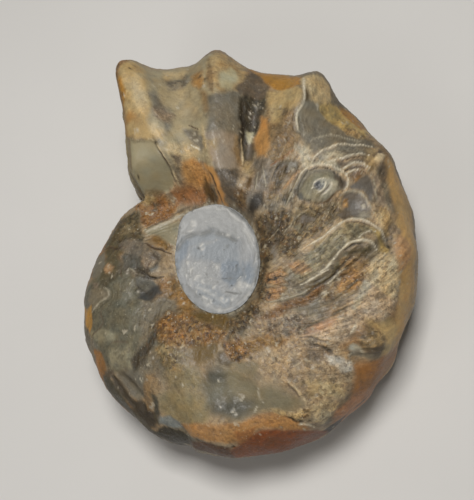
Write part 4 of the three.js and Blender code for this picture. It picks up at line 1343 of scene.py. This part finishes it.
def draw_break(place, normals, colour, lift):
    """The broken end: an uneven olive core with pale seams, inside a thin ochre rind."""
    x, y, z = place[..., 0], place[..., 1], place[..., 2]
    off_plane = np.abs(x - BREAK_X - BREAK_SLOPE * y)
    face = smooth(0.45, 0.8, -normals[..., 0]) * smooth(5, 3, off_plane) * (y > 0)
    depth = np.minimum(np.minimum(z, 76 - z), 90 - y)
    core = face * smooth(0.3 * BREAK_RIND, BREAK_RIND, depth + 1.5 * rubble(place, 9, 93))
    lumps, steps = rubble(place, 19, 91), chips(place * [1, 1, 0.6], 9, 92)[0]
    seam = bell(rubble(place, 26, 94) / BREAK_SEAM) + 0.6 * bell(rubble(place, 17, 95) / BREAK_SEAM)
    paler = smooth(-0.7, 0.8, lumps + 0.4 * steps)[..., None]
    tone = mix(linear("dark olive"), linear("olive beige"), paler)
    tone = mix(tone, linear("mauve grey"), smooth(0.1, 0.8, rubble(place, 24, 96))[..., None])
    tone = mix(tone, linear("vein cream"), np.minimum(0.75, seam)[..., None])
    tone = tone * (1 + 0.25 * rubble(place, 3, 97))[..., None]
    colour = mix(colour, linear("ochre brown"), 0.7 * (face - core)[..., None])
    lift = lift + core * (BREAK_ROUGH * lumps + 0.5 * steps + 0.4 * seam)
    return mix(colour, tone, core[..., None]), lift


stone_colour, stone_lift = draw_break(stone_grid, stone_normals, stone_colour, stone_lift)
print("the broken end is lifted by up to", stone_lift.max().round(2), "mm")

# %% [markdown]
# ## Putty on the rock
#
# Whoever filled the hollow left crumbs and smears of putty on the rock round it. They follow the
# plug's outline at an uneven distance, with gaps, and stand up a little.

# %% Smear putty round the plug
SMUDGE_REACH = 1.5  # mm


def smudge(place, colour, lift):
    """Crumbs and smears of putty on the rock round the plug."""
    out = np.hypot(place[..., 0], place[..., 1]) - SPOKES["plug"]
    edge = SMUDGE_REACH * (1 + 1.1 * rubble(place, 3.5, 98))
    share = 0.75 * smooth(edge, 0.3 * edge, out) * (place[..., 2] > MIDDLE_HEIGHT)
    share = share * smooth(-0.5, 0.3, rubble(place, 1.6, 99))
    return mix(colour, linear("filler cream"), share[..., None]), lift + 0.25 * share


stone_colour, stone_lift = smudge(stone_grid, stone_colour, stone_lift)
stone_colour = np.clip(stone_colour, 0, 1)
print("relief from", stone_lift.min().round(2), "to", stone_lift.max().round(2), "mm")

# %% [markdown]
# ## Raising the relief
#
# The relief moves each point along the surface's own normal, which is worked out from the grid:
# the cross product of the step to the next spoke and the step to the next ring. It fades out where
# the stone meets the table and under the plug, so the bed stays flat and the plug still fits.

# %% Raise the relief and put the stone together
def close_grid(grid, first, last):
    """Corners and triangles of a closed skin: the rings, with a fan to one point at each end."""
    rings, count = grid.shape[:2]
    corners = np.vstack([first, grid.reshape(-1, 3), last])
    i = np.arange(count)
    j = (i + 1) % count
    start = 1 + count * np.arange(rings - 1)[:, None]
    a, b, c, d = start + i, start + j, start + count + i, start + count + j
    quads = np.stack([np.stack([a, c, d], -1), np.stack([a, d, b], -1)], 2).reshape(-1, 3)
    top = np.stack([np.zeros_like(i), 1 + i, 1 + j], -1)
    end = 1 + count * (rings - 1)
    bottom = np.stack([np.full_like(i, len(corners) - 1), end + j, end + i], -1)
    return corners, np.vstack([top, quads, bottom])


ring_number = np.arange(len(stone_grid))[:, None]
free = smooth(FIRST_FLANK_RING - 1, FIRST_FLANK_RING + 3, ring_number)
on_bed = smooth(0.5, 6, stone_grid[..., 2])
raised = stone_grid + stone_normals * (stone_lift * free * on_bed)[..., None]
raised[..., 2] = np.maximum(0, raised[..., 2])
floor_point = [[0, 0, plug_top(0, 0) - HOLLOW_DEPTH - 0.7]]
stone_corners, stone_faces = close_grid(raised, floor_point, [[0, 0, UNDER_DEPTH]])
print(len(stone_corners), "points,", len(stone_faces), "triangles")


# %% [markdown]
# ## From arrays to a Blender mesh
#
# Blender takes whole arrays: the points, the corner numbers of the faces, and one value for each
# point of any attribute. Colour goes in as an attribute named after what it is, so the material
# can read it by that name.

# %% Define how arrays become a piece
def make_piece(name, corners, faces, colours, values, places=None):
    """A smooth-shaded mesh object at the origin, with its place in its mesh, in metres."""
    mesh = bpy.data.meshes.new(name)
    mesh.vertices.add(len(corners))
    mesh.vertices.foreach_set("co", ((corners * MM) + AXIS).astype(np.float32).ravel())
    mesh.loops.add(faces.size)
    mesh.loops.foreach_set("vertex_index", faces.astype(np.int32).ravel())
    mesh.polygons.add(len(faces))
    mesh.polygons.foreach_set("loop_start", np.arange(0, faces.size, 3, dtype=np.int32))
    mesh.polygons.foreach_set("use_smooth", np.ones(len(faces), bool))
    for label, table in colours.items():
        rgba = np.concatenate([table, np.ones((len(table), 1))], 1).astype(np.float32)
        mesh.attributes.new(label, "FLOAT_COLOR", "POINT").data.foreach_set("color", rgba.ravel())
    for label, column in values.items():
        data = mesh.attributes.new(label, "FLOAT", "POINT").data
        data.foreach_set("value", column.astype(np.float32))
    for label, table in (places or {}).items():
        data = mesh.attributes.new(label, "FLOAT_VECTOR", "POINT").data
        data.foreach_set("vector", (table * MM).astype(np.float32).ravel())
    mesh.update(calc_edges=True)
    mesh.validate()
    piece = bpy.data.objects.new(name, mesh)
    bpy.context.scene.collection.objects.link(piece)
    return piece


def with_ends(grid):
    """A grid's values as one list, with its first and last rings' means at the two end points."""
    flat = grid.reshape(len(grid) * len(grid[0]), -1)
    ends = grid[0].reshape(len(grid[0]), -1).mean(0), grid[-1].reshape(len(grid[0]), -1).mean(0)
    return np.vstack([ends[0][None], flat, ends[1][None]])


stone = make_piece(
    "ammonite_stone",
    stone_corners,
    stone_faces,
    {"mineral": with_ends(stone_colour)},
    {
        "crumb": with_ends(stone_crumb)[:, 0],
        "relief": with_ends(stone_lift)[:, 0],
        "streaked": with_ends(flow_strength(spread_x, spread_y) * smooth(0, 0.7, stone_crumb))[:, 0],
    },
    {"flow": with_ends(flow_place(spread_x, spread_y))},
)
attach(stone, "root")
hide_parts("ammonite")
print(stone.name, [round(v * 1000, 1) for v in stone.dimensions], "mm")

# %% [markdown]
# ## The plug of filler
#
# Somebody filled the umbilicus with a pale grey putty and smoothed it with a finger or a knife.
# It keeps the marks of that: a raised rim on one side, curved smears, lumps, small air pits and a
# short crack. Its lip lies a little over the rock, which hides the joint. The same three kinds of
# marks as on the stone draw it, laid on in plain x and y from the axis: its face is nearly flat.

# %% List the marks of the filler
FILLER_ZONES = [  # name, tone, softness in mm, lumpiness, lift in mm, outline in pixels
    ("grey middle", "filler grey", 2.5, .2, -.15,
     "193,233 214,229 232,235 240,249 236,262 214,264 196,260 188,247"),
    ("pale upper band", "filler light", 1.6, .3, .3,
     "180,222 190,212 203,207 217,206 230,211 241,220 249,231 254,244 247,250 240,240 229,233 "
     "214,229 200,230 190,236 182,241"),
    ("pale lower left", "filler light", 2.5, .9, .15,
     "178,262 192,260 206,264 213,272 219,281 214,287 200,284 190,284 181,277"),
    ("pale lower right", "filler light", 2.2, .9, .15,
     "222,286 236,289 243,281 251,277 251,290 243,301 231,307 221,300"),
    ("dark patch", "filler blue", 1.4, .7, -.3,
     "220,264 228,259 238,261 242,270 239,282 230,285 222,277"),
    ("blue left edge", "filler blue", 1.8, .2, -.1,
     "173,264 177,250 185,238 190,244 184,256 180,266 177,275"),
    ("grey smear below", "filler grey", 2.0, .6, -.2,
     "196,281 208,286 222,291 234,301 228,306 212,302 199,295"),
    ("grey right side", "filler blue", 2.2, .2, -.1, "243,262 252,260 255,276 249,288 243,280"),
    ("white lump", "filler light", 1.0, .9, .3, "210,262 218,262 221,268 217,274 211,271"),
]
FILLER_VEINS = [  # name, tone, half width and lift in mm, line in pixels
    # The rim's white is partly pale putty and partly a painted highlight; the groove's grey is partly
    # painted shade.
    ("raised rim", "filler white", 1.3, .45,
     "186,214 194,210 203,207.5 213,207 221,208.5 229,212 238,219.5 246,229 251,239 254,250 "
     "255.5,262"),
    ("groove outside the rim", "filler shade", .8, -.7,
     "224,205.5 234,210.5 242,217 249,225.5 254,235 257,246 258.5,258 258,272 255,284"),
    ("step of the inner disc", "filler shade", 1.3, -.4,
     "177,251 182,242 190,235.5 200,232 213,231 225,234 236,241"),
    ("right step", "filler light", 1.5, .25, "237,229 243,240 246,254 246,266"),
    ("bright smear", "filler light", 1.2, .2, "182,226 192,218 202,214 215,213"),
    ("low smear of the disc", "filler light", 1.3, .15, "192,247 204,242 218,239"),
    ("crack", "filler dark", .4, -.5, "226,290.5 231,292 235,293.4 241,293"),
    ("small crack", "filler dark", .4, -.5, "222,276.6 226,276.8"),
    ("lower smear", "filler white", 1.2, .2, "196,287 206,290 216,296 224,302"),
    ("lowest smear", "filler shade", 1.1, -.2, "187,284 194,293 204,300 214,306"),
    ("lowest bright smear", "filler white", 1.1, .25, "200,300 210,307 222,310 234,307"),
    ("right hem", "filler white", 1.2, .3, "238,304 246,298 250,291 253.5,283"),
]
FILLER_SPOTS = [  # name, tone, lift in mm, strength, middles in pixels and radii in mm
    ("pits", "filler dark", -.5, .75,
     "198.5,246.5,.6 237,268,.5 231,284,.5 201.5,293.5,.5 212,299.5,.5 235,244,.3"),
    ("dimples", "filler shade", -.3, .5,
     "184,231,1.6 186,234,1.0 231,241,1.0 228,247,.9 190,274,.9 228,276,1.0"),
    ("lumps", "filler white", .35, 1.0,
     "192,224,1.2 190,230,0.9 200,243,0.8 202,247,0.9 228,234,1.0 193,270,1.2 198,276,0.9 "
     "203,281,0.8 215,266,1.0 240,285,1.7 248,284,1.5 204,299,1.0 209,302,0.9 222,297,0.9 "
     "188,262,0.9 213,287,1.0 234,300,1.0 246,296,1.0 219,310,1.2 186,277,0.8"),
    ("crumbs", "filler white", .25, .9,
     "196,262,.5 207,268,.5 211,277,.5 199,284,.6 205,291,.5 210,296,.5 217,292,.5 227,300,.6 "
     "233,289,.5 238,279,.5 246,277,.5 191,283,.5 196,292,.5 206,305,.6 226,309,.5 216,238,.5 "
     "222,232,.5 205,222,.5 239,238,.5 188,255,.5"),
    ("grit", "filler shade", -.25, .6,
     "194,272,.6 208,273,.5 216,282,.6 227,295,.6 240,291,.5 244,270,.5 202,256,.5 224,250,.5 "
     "213,229,.5 200,302,.6 232,303,.5 219,304,.5"),
]

# %% Draw the filler
def draw_filler(x, y, share):
    """Colour and relief in mm of the filler's face, from its marks and from smears round it."""
    place = np.stack([x, y, 0 * x], -1)
    bend_x = 1.1 * clouds(place, 4, 105) + 0.7 * clouds(place, 1.6, 106)
    bend_y = 1.1 * clouds(place, 4, 107) + 0.7 * clouds(place, 1.6, 108)
    wx, wy = x + bend_x, y + bend_y
    colour = np.broadcast_to(linear("filler base"), x.shape + (3,)).copy()
    lumpy, lift = np.full(x.shape, 0.3), np.zeros(x.shape)
    for _, tone, soft, lumps, rise, corners in FACE_ZONES:
        inside_share = zone_share(wx, wy, corners, soft)
        colour = mix(colour, linear(tone), inside_share[..., None])
        lumpy, lift = mix(lumpy, lumps, inside_share), lift + rise * inside_share
    turn = np.arctan2(y / PLUG_RADIUS_Y, x / PLUG_RADIUS_X) + 0.5 * share
    wide = 4 * np.stack([np.cos(turn), np.sin(turn), 5.5 * (share + 0.05 * clouds(place, 9, 110))], -1)
    smear = clouds(wide, 1.5, 111) + 0.7 * clouds(wide, 0.7, 112)
    thread = clouds(wide * [1, 1, 2.2], 0.8, 115)
    cloud, fine, grit = rubble(place, 7, 113), rubble(place, 2.0, 114), rubble(place, 0.9, 116, 2)
    lift = lift + 0.13 * smear + 0.05 * thread + lumpy * (0.28 * cloud + 0.24 * fine + 0.14 * grit)
    # The tone follows the smears and lumps, paler where they stand up: painted light on them.
    light = 0.035 * smear + 0.02 * thread + 0.035 * cloud + (0.02 + 0.05 * lumpy) * (fine + grit)
    colour = colour * (1 + light)[..., None]
    for _, tone, width, rise, corners in FACE_VEINS:
        line, _ = vein_share(x + 0.5 * bend_x, y + 0.5 * bend_y, corners, width)
        line = line * np.clip(0.8 + 0.5 * clouds(place, 2.5, 117), 0, 1)
        colour = mix(colour, linear(tone), 0.6 * line[..., None])
        lift = lift + 1.2 * rise * line
    for _, tone, rise, strength, spots in FACE_SPOTS:
        for spot_x, spot_y, radius in spots:
            spot = strength * bell(np.hypot(wx - spot_x, wy - spot_y) / radius)
            colour = mix(colour, linear(tone), spot[..., None])
            lift = lift + rise * spot
    worn = smooth(0.93, 1.0, share + 0.035 * rubble(place, 3, 118))
    colour = mix(colour, linear("filler shade"), (worn * smooth(-0.3, 0.6, fine))[..., None])
    return np.clip(colour, 0, 1), lift


PLUG_SPOKES = make_spokes(360.0 * np.arange(300) / 300)
FACE_SHARES = np.linspace(0.012, 1.0, 84)
SIDE_RINGS = [(1.0, 0.5), (0.992, 1.1), (0.97, 2.2), (0.94, 3.2), (0.88, 5.3), (0.8, 7.7), (0.5, 7.7)]
PLUG_DISH = 1.2

face_share = FACE_SHARES[:, None] + 0 * PLUG_SPOKES["plug"]
rim_place = np.stack([PLUG_SPOKES["cos"], PLUG_SPOKES["sin"], 0 * PLUG_SPOKES["cos"]], -1)
spill = 0.40 + 0.20 * clouds(rim_place, 1 / 4, 121) + 0.12 * clouds(rim_place, 1 / 25, 122)
face_radius = face_share * PLUG_SPOKES["plug"] + spill * smooth(0.9, 1.0, face_share)
face_x, face_y = face_radius * PLUG_SPOKES["cos"], face_radius * PLUG_SPOKES["sin"]
smooth_face = np.stack([face_x, face_y, plug_top(face_x, face_y)], -1)
face_seen = picture_place(smooth_face)[0].reshape(-1, 2), smooth_face[..., :2].reshape(-1, 2)
FACE_ZONES, FACE_VEINS, FACE_SPOTS = (
    laid_marks(marks, *face_seen) for marks in (FILLER_ZONES, FILLER_VEINS, FILLER_SPOTS)
)
filler_colour, filler_lift = draw_filler(face_x, face_y, face_share)
meniscus = 0.8 * smooth(0.88, 1.0, face_share) * (1 + 0.4 * PLUG_SPOKES["cos"])
face_z = plug_top(face_x, face_y) - PLUG_DISH * (1 - face_share**2) + meniscus
face_z = face_z + filler_lift * (1 - 0.5 * smooth(0.97, 1.0, face_share))
face = np.stack([face_x, face_y, face_z], -1)
sides = np.stack([plug_ring(PLUG_SPOKES, share, 0.3, depth) for share, depth in SIDE_RINGS])
plug_grid = np.concatenate([face, sides])
top_point = plug_grid[0].mean(0)[None]
bottom_point = [[0, 0, plug_top(0, 0) - SIDE_RINGS[-1][1]]]
plug_corners, plug_faces = close_grid(plug_grid, top_point, bottom_point)
side_colour = np.broadcast_to(linear("filler base"), sides.shape)
plug = make_piece(
    "filler_plug",
    plug_corners,
    plug_faces,
    {"putty": with_ends(np.concatenate([filler_colour, side_colour]))},
    {"relief": with_ends(np.concatenate([filler_lift, 0 * sides[..., 0]]))[:, 0]},
)
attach(plug, "root")
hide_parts("umbilicus_plug")
print(plug.name, len(plug_faces), "triangles,", [round(v * 1000, 1) for v in plug.dimensions], "mm")

# %% [markdown]
# ## Effects that both finishes share
#
# The mesh carries forms and colours down to about a millimetre. Below that come grains, flecks and
# a painted shade in the hollows, which are cheaper as shader nodes. Both finishes use them with
# their own values, so each effect is a node group with named inputs and outputs. They read
# positions in metres, so a size in millimetres becomes a noise scale of a thousand over it.

# %% Build the shared node groups
def new_group(name, inputs, outputs):
    """An empty node group with value, vector or colour sockets, and its two end nodes."""
    group = bpy.data.node_groups.new(name, "ShaderNodeTree")
    for label, kind, value in inputs:
        socket = group.interface.new_socket(label, in_out="INPUT", socket_type="NodeSocket" + kind)
        if value is not None:
            socket.default_value = value
    for label, kind in outputs:
        group.interface.new_socket(label, in_out="OUTPUT", socket_type="NodeSocket" + kind)
    return group, group.nodes.new("NodeGroupInput"), group.nodes.new("NodeGroupOutput")


def feed(tree, socket, value):
    """Links an input to another socket, or sets it to a plain value."""
    if isinstance(value, bpy.types.NodeSocket):
        tree.links.new(value, socket)
    else:
        socket.default_value = value


def add_node(tree, kind, settings=(), **inputs):
    """A node of a kind, with its settings, and its inputs fed: n0 is the first, a word its name."""
    node = tree.nodes.new("ShaderNode" + kind)
    for key, value in dict(settings).items():
        setattr(node, key, value)
    for key, value in inputs.items():
        label = int(key[1:]) if key[1:].isdigit() else key.replace("_", " ")
        feed(tree, node.inputs[label], value)
    return node


def maths(tree, operation, a, b=0.0):
    """One Math node: the operation on a and b."""
    return add_node(tree, "Math", {"operation": operation}, n0=a, n1=b).outputs[0]


def times_plus(tree, value, factor, base):
    """One Math node: value times factor, plus base."""
    node = add_node(tree, "Math", {"operation": "MULTIPLY_ADD"}, n0=value, n1=factor, n2=base)
    return node.outputs[0]


def scale_of(tree, size):
    """A thousand over a size in millimetres, the scale of a noise that reads metres."""
    return maths(tree, "DIVIDE", 1000.0, size)


def grain_group():
    """Cloudy grains: a shade that swings round 1, and a height from 0 to 1."""
    group, start, end = new_group(
        "fine grain",
        [("Position", "Vector", None), ("Size mm", "Float", 1.0), ("Strength", "Float", 0.3)],
        [("Shade", "Float"), ("Height", "Float")],
    )
    where, size = start.outputs["Position"], start.outputs["Size mm"]
    clouds_node = add_node(
        group, "TexNoise", {}, Vector=where, Scale=scale_of(group, size), Detail=4.0, Roughness=0.65
    )
    grit = add_node(
        group, "TexVoronoi", {}, Vector=where, Scale=maths(group, "MULTIPLY", scale_of(group, size), 1.7)
    )
    height = maths(
        group,
        "ADD",
        maths(group, "MULTIPLY", clouds_node.outputs[0], 0.7),
        maths(group, "MULTIPLY", grit.outputs["Distance"], 0.4),
    )
    centred = maths(group, "SUBTRACT", height, 0.55)
    swing = maths(group, "MULTIPLY", centred, maths(group, "MULTIPLY", start.outputs["Strength"], 3.0))
    group.links.new(maths(group, "ADD", 1.0, swing), end.inputs["Shade"])
    group.links.new(height, end.inputs["Height"])
    return group


def fleck_group():
    """Scattered flecks: 1 inside the few cells whose random value is high, near their middles."""
    group, start, end = new_group(
        "flecks",
        [("Position", "Vector", None), ("Size mm", "Float", 1.0), ("Amount", "Float", 0.1)],
        [("Mask", "Float")],
    )
    cells = add_node(
        group,
        "TexVoronoi",
        {},
        Vector=start.outputs["Position"],
        Scale=scale_of(group, start.outputs["Size mm"]),
    )
    random_value = add_node(group, "SeparateColor", {}, Color=cells.outputs["Color"]).outputs[0]
    chosen = maths(group, "LESS_THAN", random_value, start.outputs["Amount"])
    middle = add_node(
        group,
        "MapRange",
        {"interpolation_type": "SMOOTHSTEP"},
        Value=cells.outputs["Distance"],
        From_Min=0.45,
        From_Max=0.15,
    )
    group.links.new(maths(group, "MULTIPLY", chosen, middle.outputs[0]), end.inputs["Mask"])
    return group


def hollow_shade_group():
    """Painted shade in the hollows: 1 where the relief is low, 0 where it is high."""
    group, start, end = new_group(
        "painted shade in hollows",
        [("Relief mm", "Float", 0.0), ("Low", "Float", -0.6), ("High", "Float", 0.1)],
        [("Mask", "Float")],
    )
    # Painted shade: the mask grows as the relief sinks, so hollows are darkened as if shaded.
    fade = add_node(
        group,
        "MapRange",
        {"interpolation_type": "SMOOTHSTEP"},
        Value=start.outputs["Relief mm"],
        From_Min=start.outputs["High"],
        From_Max=start.outputs["Low"],
    )
    group.links.new(fade.outputs[0], end.inputs["Mask"])
    return group


GRAIN, FLECKS, HOLLOW_SHADE = grain_group(), fleck_group(), hollow_shade_group()
print("groups:", GRAIN.name, FLECKS.name, HOLLOW_SHADE.name)


# %% [markdown]
# ## The finish of the stone
#
# The fossil looks oiled or varnished, which brings out its colours, so it is a rough stone with a
# faint clear coat. The base colour is the mineral map, broken up by grains, tinted fragments and
# threads along the flow, with a few pale and dark flecks, and darkened by painted shade in the
# hollows. The same grains make the bump and swing the stone's own roughness, so it glints here and
# is dull there.

# %% Make the stone's material
def new_material(name):
    """An empty node material, with its shader, and the object's own positions in metres."""
    material = bpy.data.materials.new(name)
    material.use_nodes = True
    tree = material.node_tree
    shader = tree.nodes["Principled BSDF"]
    return material, tree, shader, tree.nodes.new("ShaderNodeTexCoord").outputs["Object"]


def attribute(tree, name, output):
    """A named attribute of the mesh: its colour or its single value."""
    return add_node(tree, "Attribute", {"attribute_name": name}).outputs[output]


def grouped(tree, group, **inputs):
    """A node that stands for one of the shared groups, with its inputs set or linked."""
    return add_node(tree, "Group", {"node_tree": group}, **inputs)


def blended(tree, mode, share, below, above):
    """A Mix node for colours."""
    settings = {"data_type": "RGBA", "blend_type": mode}
    return add_node(tree, "Mix", settings, n0=share, n6=below, n7=above).outputs[2]


def rgba(tone):
    """A named colour in linear light, with full alpha."""
    return (*linear(tone), 1.0)


def roughened(tree, height, least, most):
    """A roughness that follows the height of the grains, from least to most."""
    ends = {"From_Min": 0.3, "From_Max": 0.8, "To_Min": least, "To_Max": most}
    return add_node(tree, "MapRange", {}, Value=height, **ends).outputs[0]


def fragment_tint(tree, where, size):
    """A tint for each small fragment: cells of random value, their edges bent, through a ramp."""
    wobble = add_node(tree, "TexNoise", {}, Vector=where, Scale=1000 / (1.5 * size), Detail=2.0)
    bend = {"operation": "MULTIPLY_ADD"}
    bent = add_node(tree, "VectorMath", bend, n0=wobble.outputs["Color"], n1=(MM, MM, MM), n2=where)
    cells = add_node(tree, "TexVoronoi", {}, Vector=bent.outputs[0], Scale=1000 / size)
    value = add_node(tree, "SeparateColor", {}, Color=cells.outputs["Color"]).outputs[0]
    ramp = add_node(tree, "ValToRGB", {}, Fac=value)
    steps = [(0.0, (0.30, 0.24, 0.18)), (0.25, (0.66, 0.60, 0.52)), (0.5, (0.86, 0.84, 0.80))]
    steps += [(0.75, (0.95, 0.84, 0.68)), (1.0, (1.0, 1.0, 0.97))]
    for place, tint in steps[1:-1]:
        ramp.color_ramp.elements.new(place)
    for element, (place, tint) in zip(ramp.color_ramp.elements, steps):
        element.position, element.color = place, (*tint, 1)
    return ramp.outputs["Color"], value


def stone_finish():
    """Varnished stone: mineral map, fragments, streaks, flecks, painted shade in hollows, thin coat."""
    material, tree, shader, where = new_material("varnished_stone")
    crumb, relief = attribute(tree, "crumb", "Fac"), attribute(tree, "relief", "Fac")
    flow, streaked = attribute(tree, "flow", "Vector"), attribute(tree, "streaked", "Fac")
    strength = times_plus(tree, crumb, 0.6, 0.04)
    grain = grouped(tree, GRAIN, Position=where, Size_mm=1.3, Strength=strength)
    pale = grouped(tree, FLECKS, Position=where, Size_mm=0.9, Amount=0.07)
    dark = grouped(tree, FLECKS, Position=where, Size_mm=2.1, Amount=0.10)
    dirt_and_shade = grouped(tree, HOLLOW_SHADE, Relief_mm=relief, Low=-0.9, High=0.15)
    tint, fragment = fragment_tint(tree, where, 1.3)
    thread = add_node(tree, "TexNoise", {}, Vector=flow, Scale=1000 / 0.9, Detail=3.0, Roughness=0.6)
    thread_swing = maths(tree, "MULTIPLY", maths(tree, "SUBTRACT", thread.outputs[0], 0.5), 1.5)
    thread_shade = times_plus(tree, thread_swing, streaked, 1.0)

    colour = blended(tree, "MULTIPLY", 1.0, attribute(tree, "mineral", "Color"), grain.outputs["Shade"])
    colour = blended(tree, "MULTIPLY", maths(tree, "MULTIPLY", crumb, 1.35), colour, tint)
    colour = blended(tree, "MULTIPLY", 1.0, colour, thread_shade)
    pale_share = maths(tree, "MULTIPLY", pale.outputs[0], maths(tree, "MULTIPLY", crumb, 0.7))
    colour = blended(tree, "MIX", pale_share, colour, rgba("vein white"))
    dark_share = maths(tree, "MULTIPLY", dark.outputs[0], maths(tree, "MULTIPLY", crumb, 0.6))
    colour = blended(tree, "MIX", dark_share, colour, rgba("dirt_and_shade"))
    # Painted shade: the colour is darkened where the relief sinks.
    hollow_shade_share = maths(tree, "MULTIPLY", dirt_and_shade.outputs[0], 0.55)
    colour = blended(tree, "MIX", hollow_shade_share, colour, rgba("dirt_and_shade"))
    tree.links.new(colour, shader.inputs["Base Color"])

    feed(tree, shader.inputs["Roughness"], roughened(tree, grain.outputs["Height"], 0.40, 0.72))
    broken = maths(tree, "MULTIPLY", fragment, maths(tree, "MULTIPLY", crumb, 0.8))
    lines = maths(tree, "MULTIPLY", thread.outputs[0], streaked)
    height = maths(tree, "ADD", grain.outputs["Height"], maths(tree, "ADD", broken, lines))
    height = maths(tree, "MULTIPLY", height, times_plus(tree, crumb, 1.35, 0.22))
    bump = add_node(tree, "Bump", {}, Height=height, Distance=0.00045, Strength=0.9)
    tree.links.new(bump.outputs[0], shader.inputs["Normal"])
    shader.inputs["Coat Weight"].default_value = 0.06
    shader.inputs["Coat Roughness"].default_value = 0.2
    return material


stone.data.materials.append(stone_finish())
print("the stone wears", stone.data.materials[0].name)


# %% [markdown]
# ## The finish of the filler
#
# The putty is nearly without colour. Its map already has the smears, so its grains are finer and
# weaker, with only a few dark flecks of dirt, a little painted shade in its hollows, and its coat is
# faint.

# %% Make the filler's material
def filler_finish():
    """Dried putty: the putty map with fine grains and a little painted shade in its hollows."""
    material, tree, shader, where = new_material("dried_filler")
    relief = attribute(tree, "relief", "Fac")
    grain = grouped(tree, GRAIN, Position=where, Size_mm=0.9, Strength=0.12)
    dark = grouped(tree, FLECKS, Position=where, Size_mm=2.4, Amount=0.04)
    dirt_and_shade = grouped(tree, HOLLOW_SHADE, Relief_mm=relief, Low=-0.7, High=-0.1)
    colour = blended(tree, "MULTIPLY", 1.0, attribute(tree, "putty", "Color"), grain.outputs["Shade"])
    dark_share = maths(tree, "MULTIPLY", dark.outputs[0], 0.25)
    colour = blended(tree, "MIX", dark_share, colour, rgba("filler shade"))
    # Painted shade: the putty is darkened where its relief sinks.
    hollow_shade_share = maths(tree, "MULTIPLY", dirt_and_shade.outputs[0], 0.3)
    colour = blended(tree, "MIX", hollow_shade_share, colour, rgba("filler shade"))
    tree.links.new(colour, shader.inputs["Base Color"])
    feed(tree, shader.inputs["Roughness"], roughened(tree, grain.outputs["Height"], 0.5, 0.7))
    bump = add_node(tree, "Bump", {}, Height=grain.outputs["Height"], Distance=0.00015, Strength=0.7)
    tree.links.new(bump.outputs[0], shader.inputs["Normal"])
    shader.inputs["Coat Weight"].default_value = 0.1
    shader.inputs["Coat Roughness"].default_value = 0.3
    return material


plug.data.materials.append(filler_finish())
print("the plug wears", plug.data.materials[0].name)

# %% [markdown]
# ## The table
#
# A pale, plain surface carries the fossil. It is only a stage.

# %% Lay the floor
FLOOR_HALF = 12.0
floor_mesh = bpy.data.meshes.new("table_top")
floor_corners = [(x * FLOOR_HALF, y * FLOOR_HALF, 0) for x, y in ((-1, -1), (1, -1), (1, 1), (-1, 1))]
floor_mesh.from_pydata(floor_corners, [], [(0, 1, 2, 3)])
floor = bpy.data.objects.new("table_top", floor_mesh)
bpy.context.scene.collection.objects.link(floor)
floor_material, floor_tree, floor_shader, floor_where = new_material("pale_table")
floor_noise = add_node(floor_tree, "TexNoise", {}, Vector=floor_where, Scale=8.0, Detail=3.0)
floor_colour = blended(
    floor_tree, "MIX", floor_noise.outputs[0], (0.62, 0.61, 0.59, 1), (0.68, 0.67, 0.65, 1)
)
floor_tree.links.new(floor_colour, floor_shader.inputs["Base Color"])
floor_shader.inputs["Roughness"].default_value = 0.85
floor.data.materials.append(floor_material)
print("floor", 2 * FLOOR_HALF, "m wide")


# %% [markdown]
# ## Soft studio light
#
# A lamp almost straight overhead, a little to the back, is the key. A wider, weaker one in front on
# the left fills the shadows, and a pale surround does the rest. Square lamps, rather than points,
# give soft edges to the shadows.

# %% Set the lights
def soft_lamp(name, place, size, watts, tone=(1, 1, 1)):
    """A square area lamp at a place in metres, turned to look at the fossil's middle."""
    lamp = bpy.data.lights.new(name, "AREA")
    lamp.size, lamp.energy, lamp.color = size, watts, tone
    holder = bpy.data.objects.new(name, lamp)
    holder.location = place
    aim = Vector((0, 0, 0.04)) - Vector(place)
    holder.rotation_euler = aim.to_track_quat("-Z", "Y").to_euler()
    bpy.context.scene.collection.objects.link(holder)
    return holder


soft_lamp("key_lamp", (0.03, 0.10, 0.90), 0.25, 6.4, (1.0, 0.98, 0.95))
soft_lamp("fill_lamp", (-0.35, -0.50, 0.55), 0.4, 0.9, (1.0, 0.98, 0.96))
world = bpy.data.worlds.new("studio")
bpy.context.scene.world = world
world.use_nodes = True
world.node_tree.nodes["Background"].inputs["Color"].default_value = (1.0, 0.98, 0.95, 1)
world.node_tree.nodes["Background"].inputs["Strength"].default_value = 0.10
bpy.context.scene.view_settings.view_transform = "Standard"

# %% [markdown]
# ## The camera
#
# The camera object takes the numbers that the marks were laid on with, so each mark shows in the
# render where it was placed. Its own axes are right, up and back, the columns of its turn.

# %% Place the camera
camera_data = bpy.data.cameras.new("camera")
camera_data.lens, camera_data.sensor_width = LENS, SENSOR
camera_data.clip_start = 0.01
camera = bpy.data.objects.new("camera", camera_data)
turn = Matrix((RIGHT, UP, BACK)).transposed().to_4x4()
camera.matrix_world = Matrix.Translation(EYE) @ turn
bpy.context.scene.collection.objects.link(camera)
bpy.context.scene.camera = camera
print("camera at", [round(v, 3) for v in camera.matrix_world.translation])
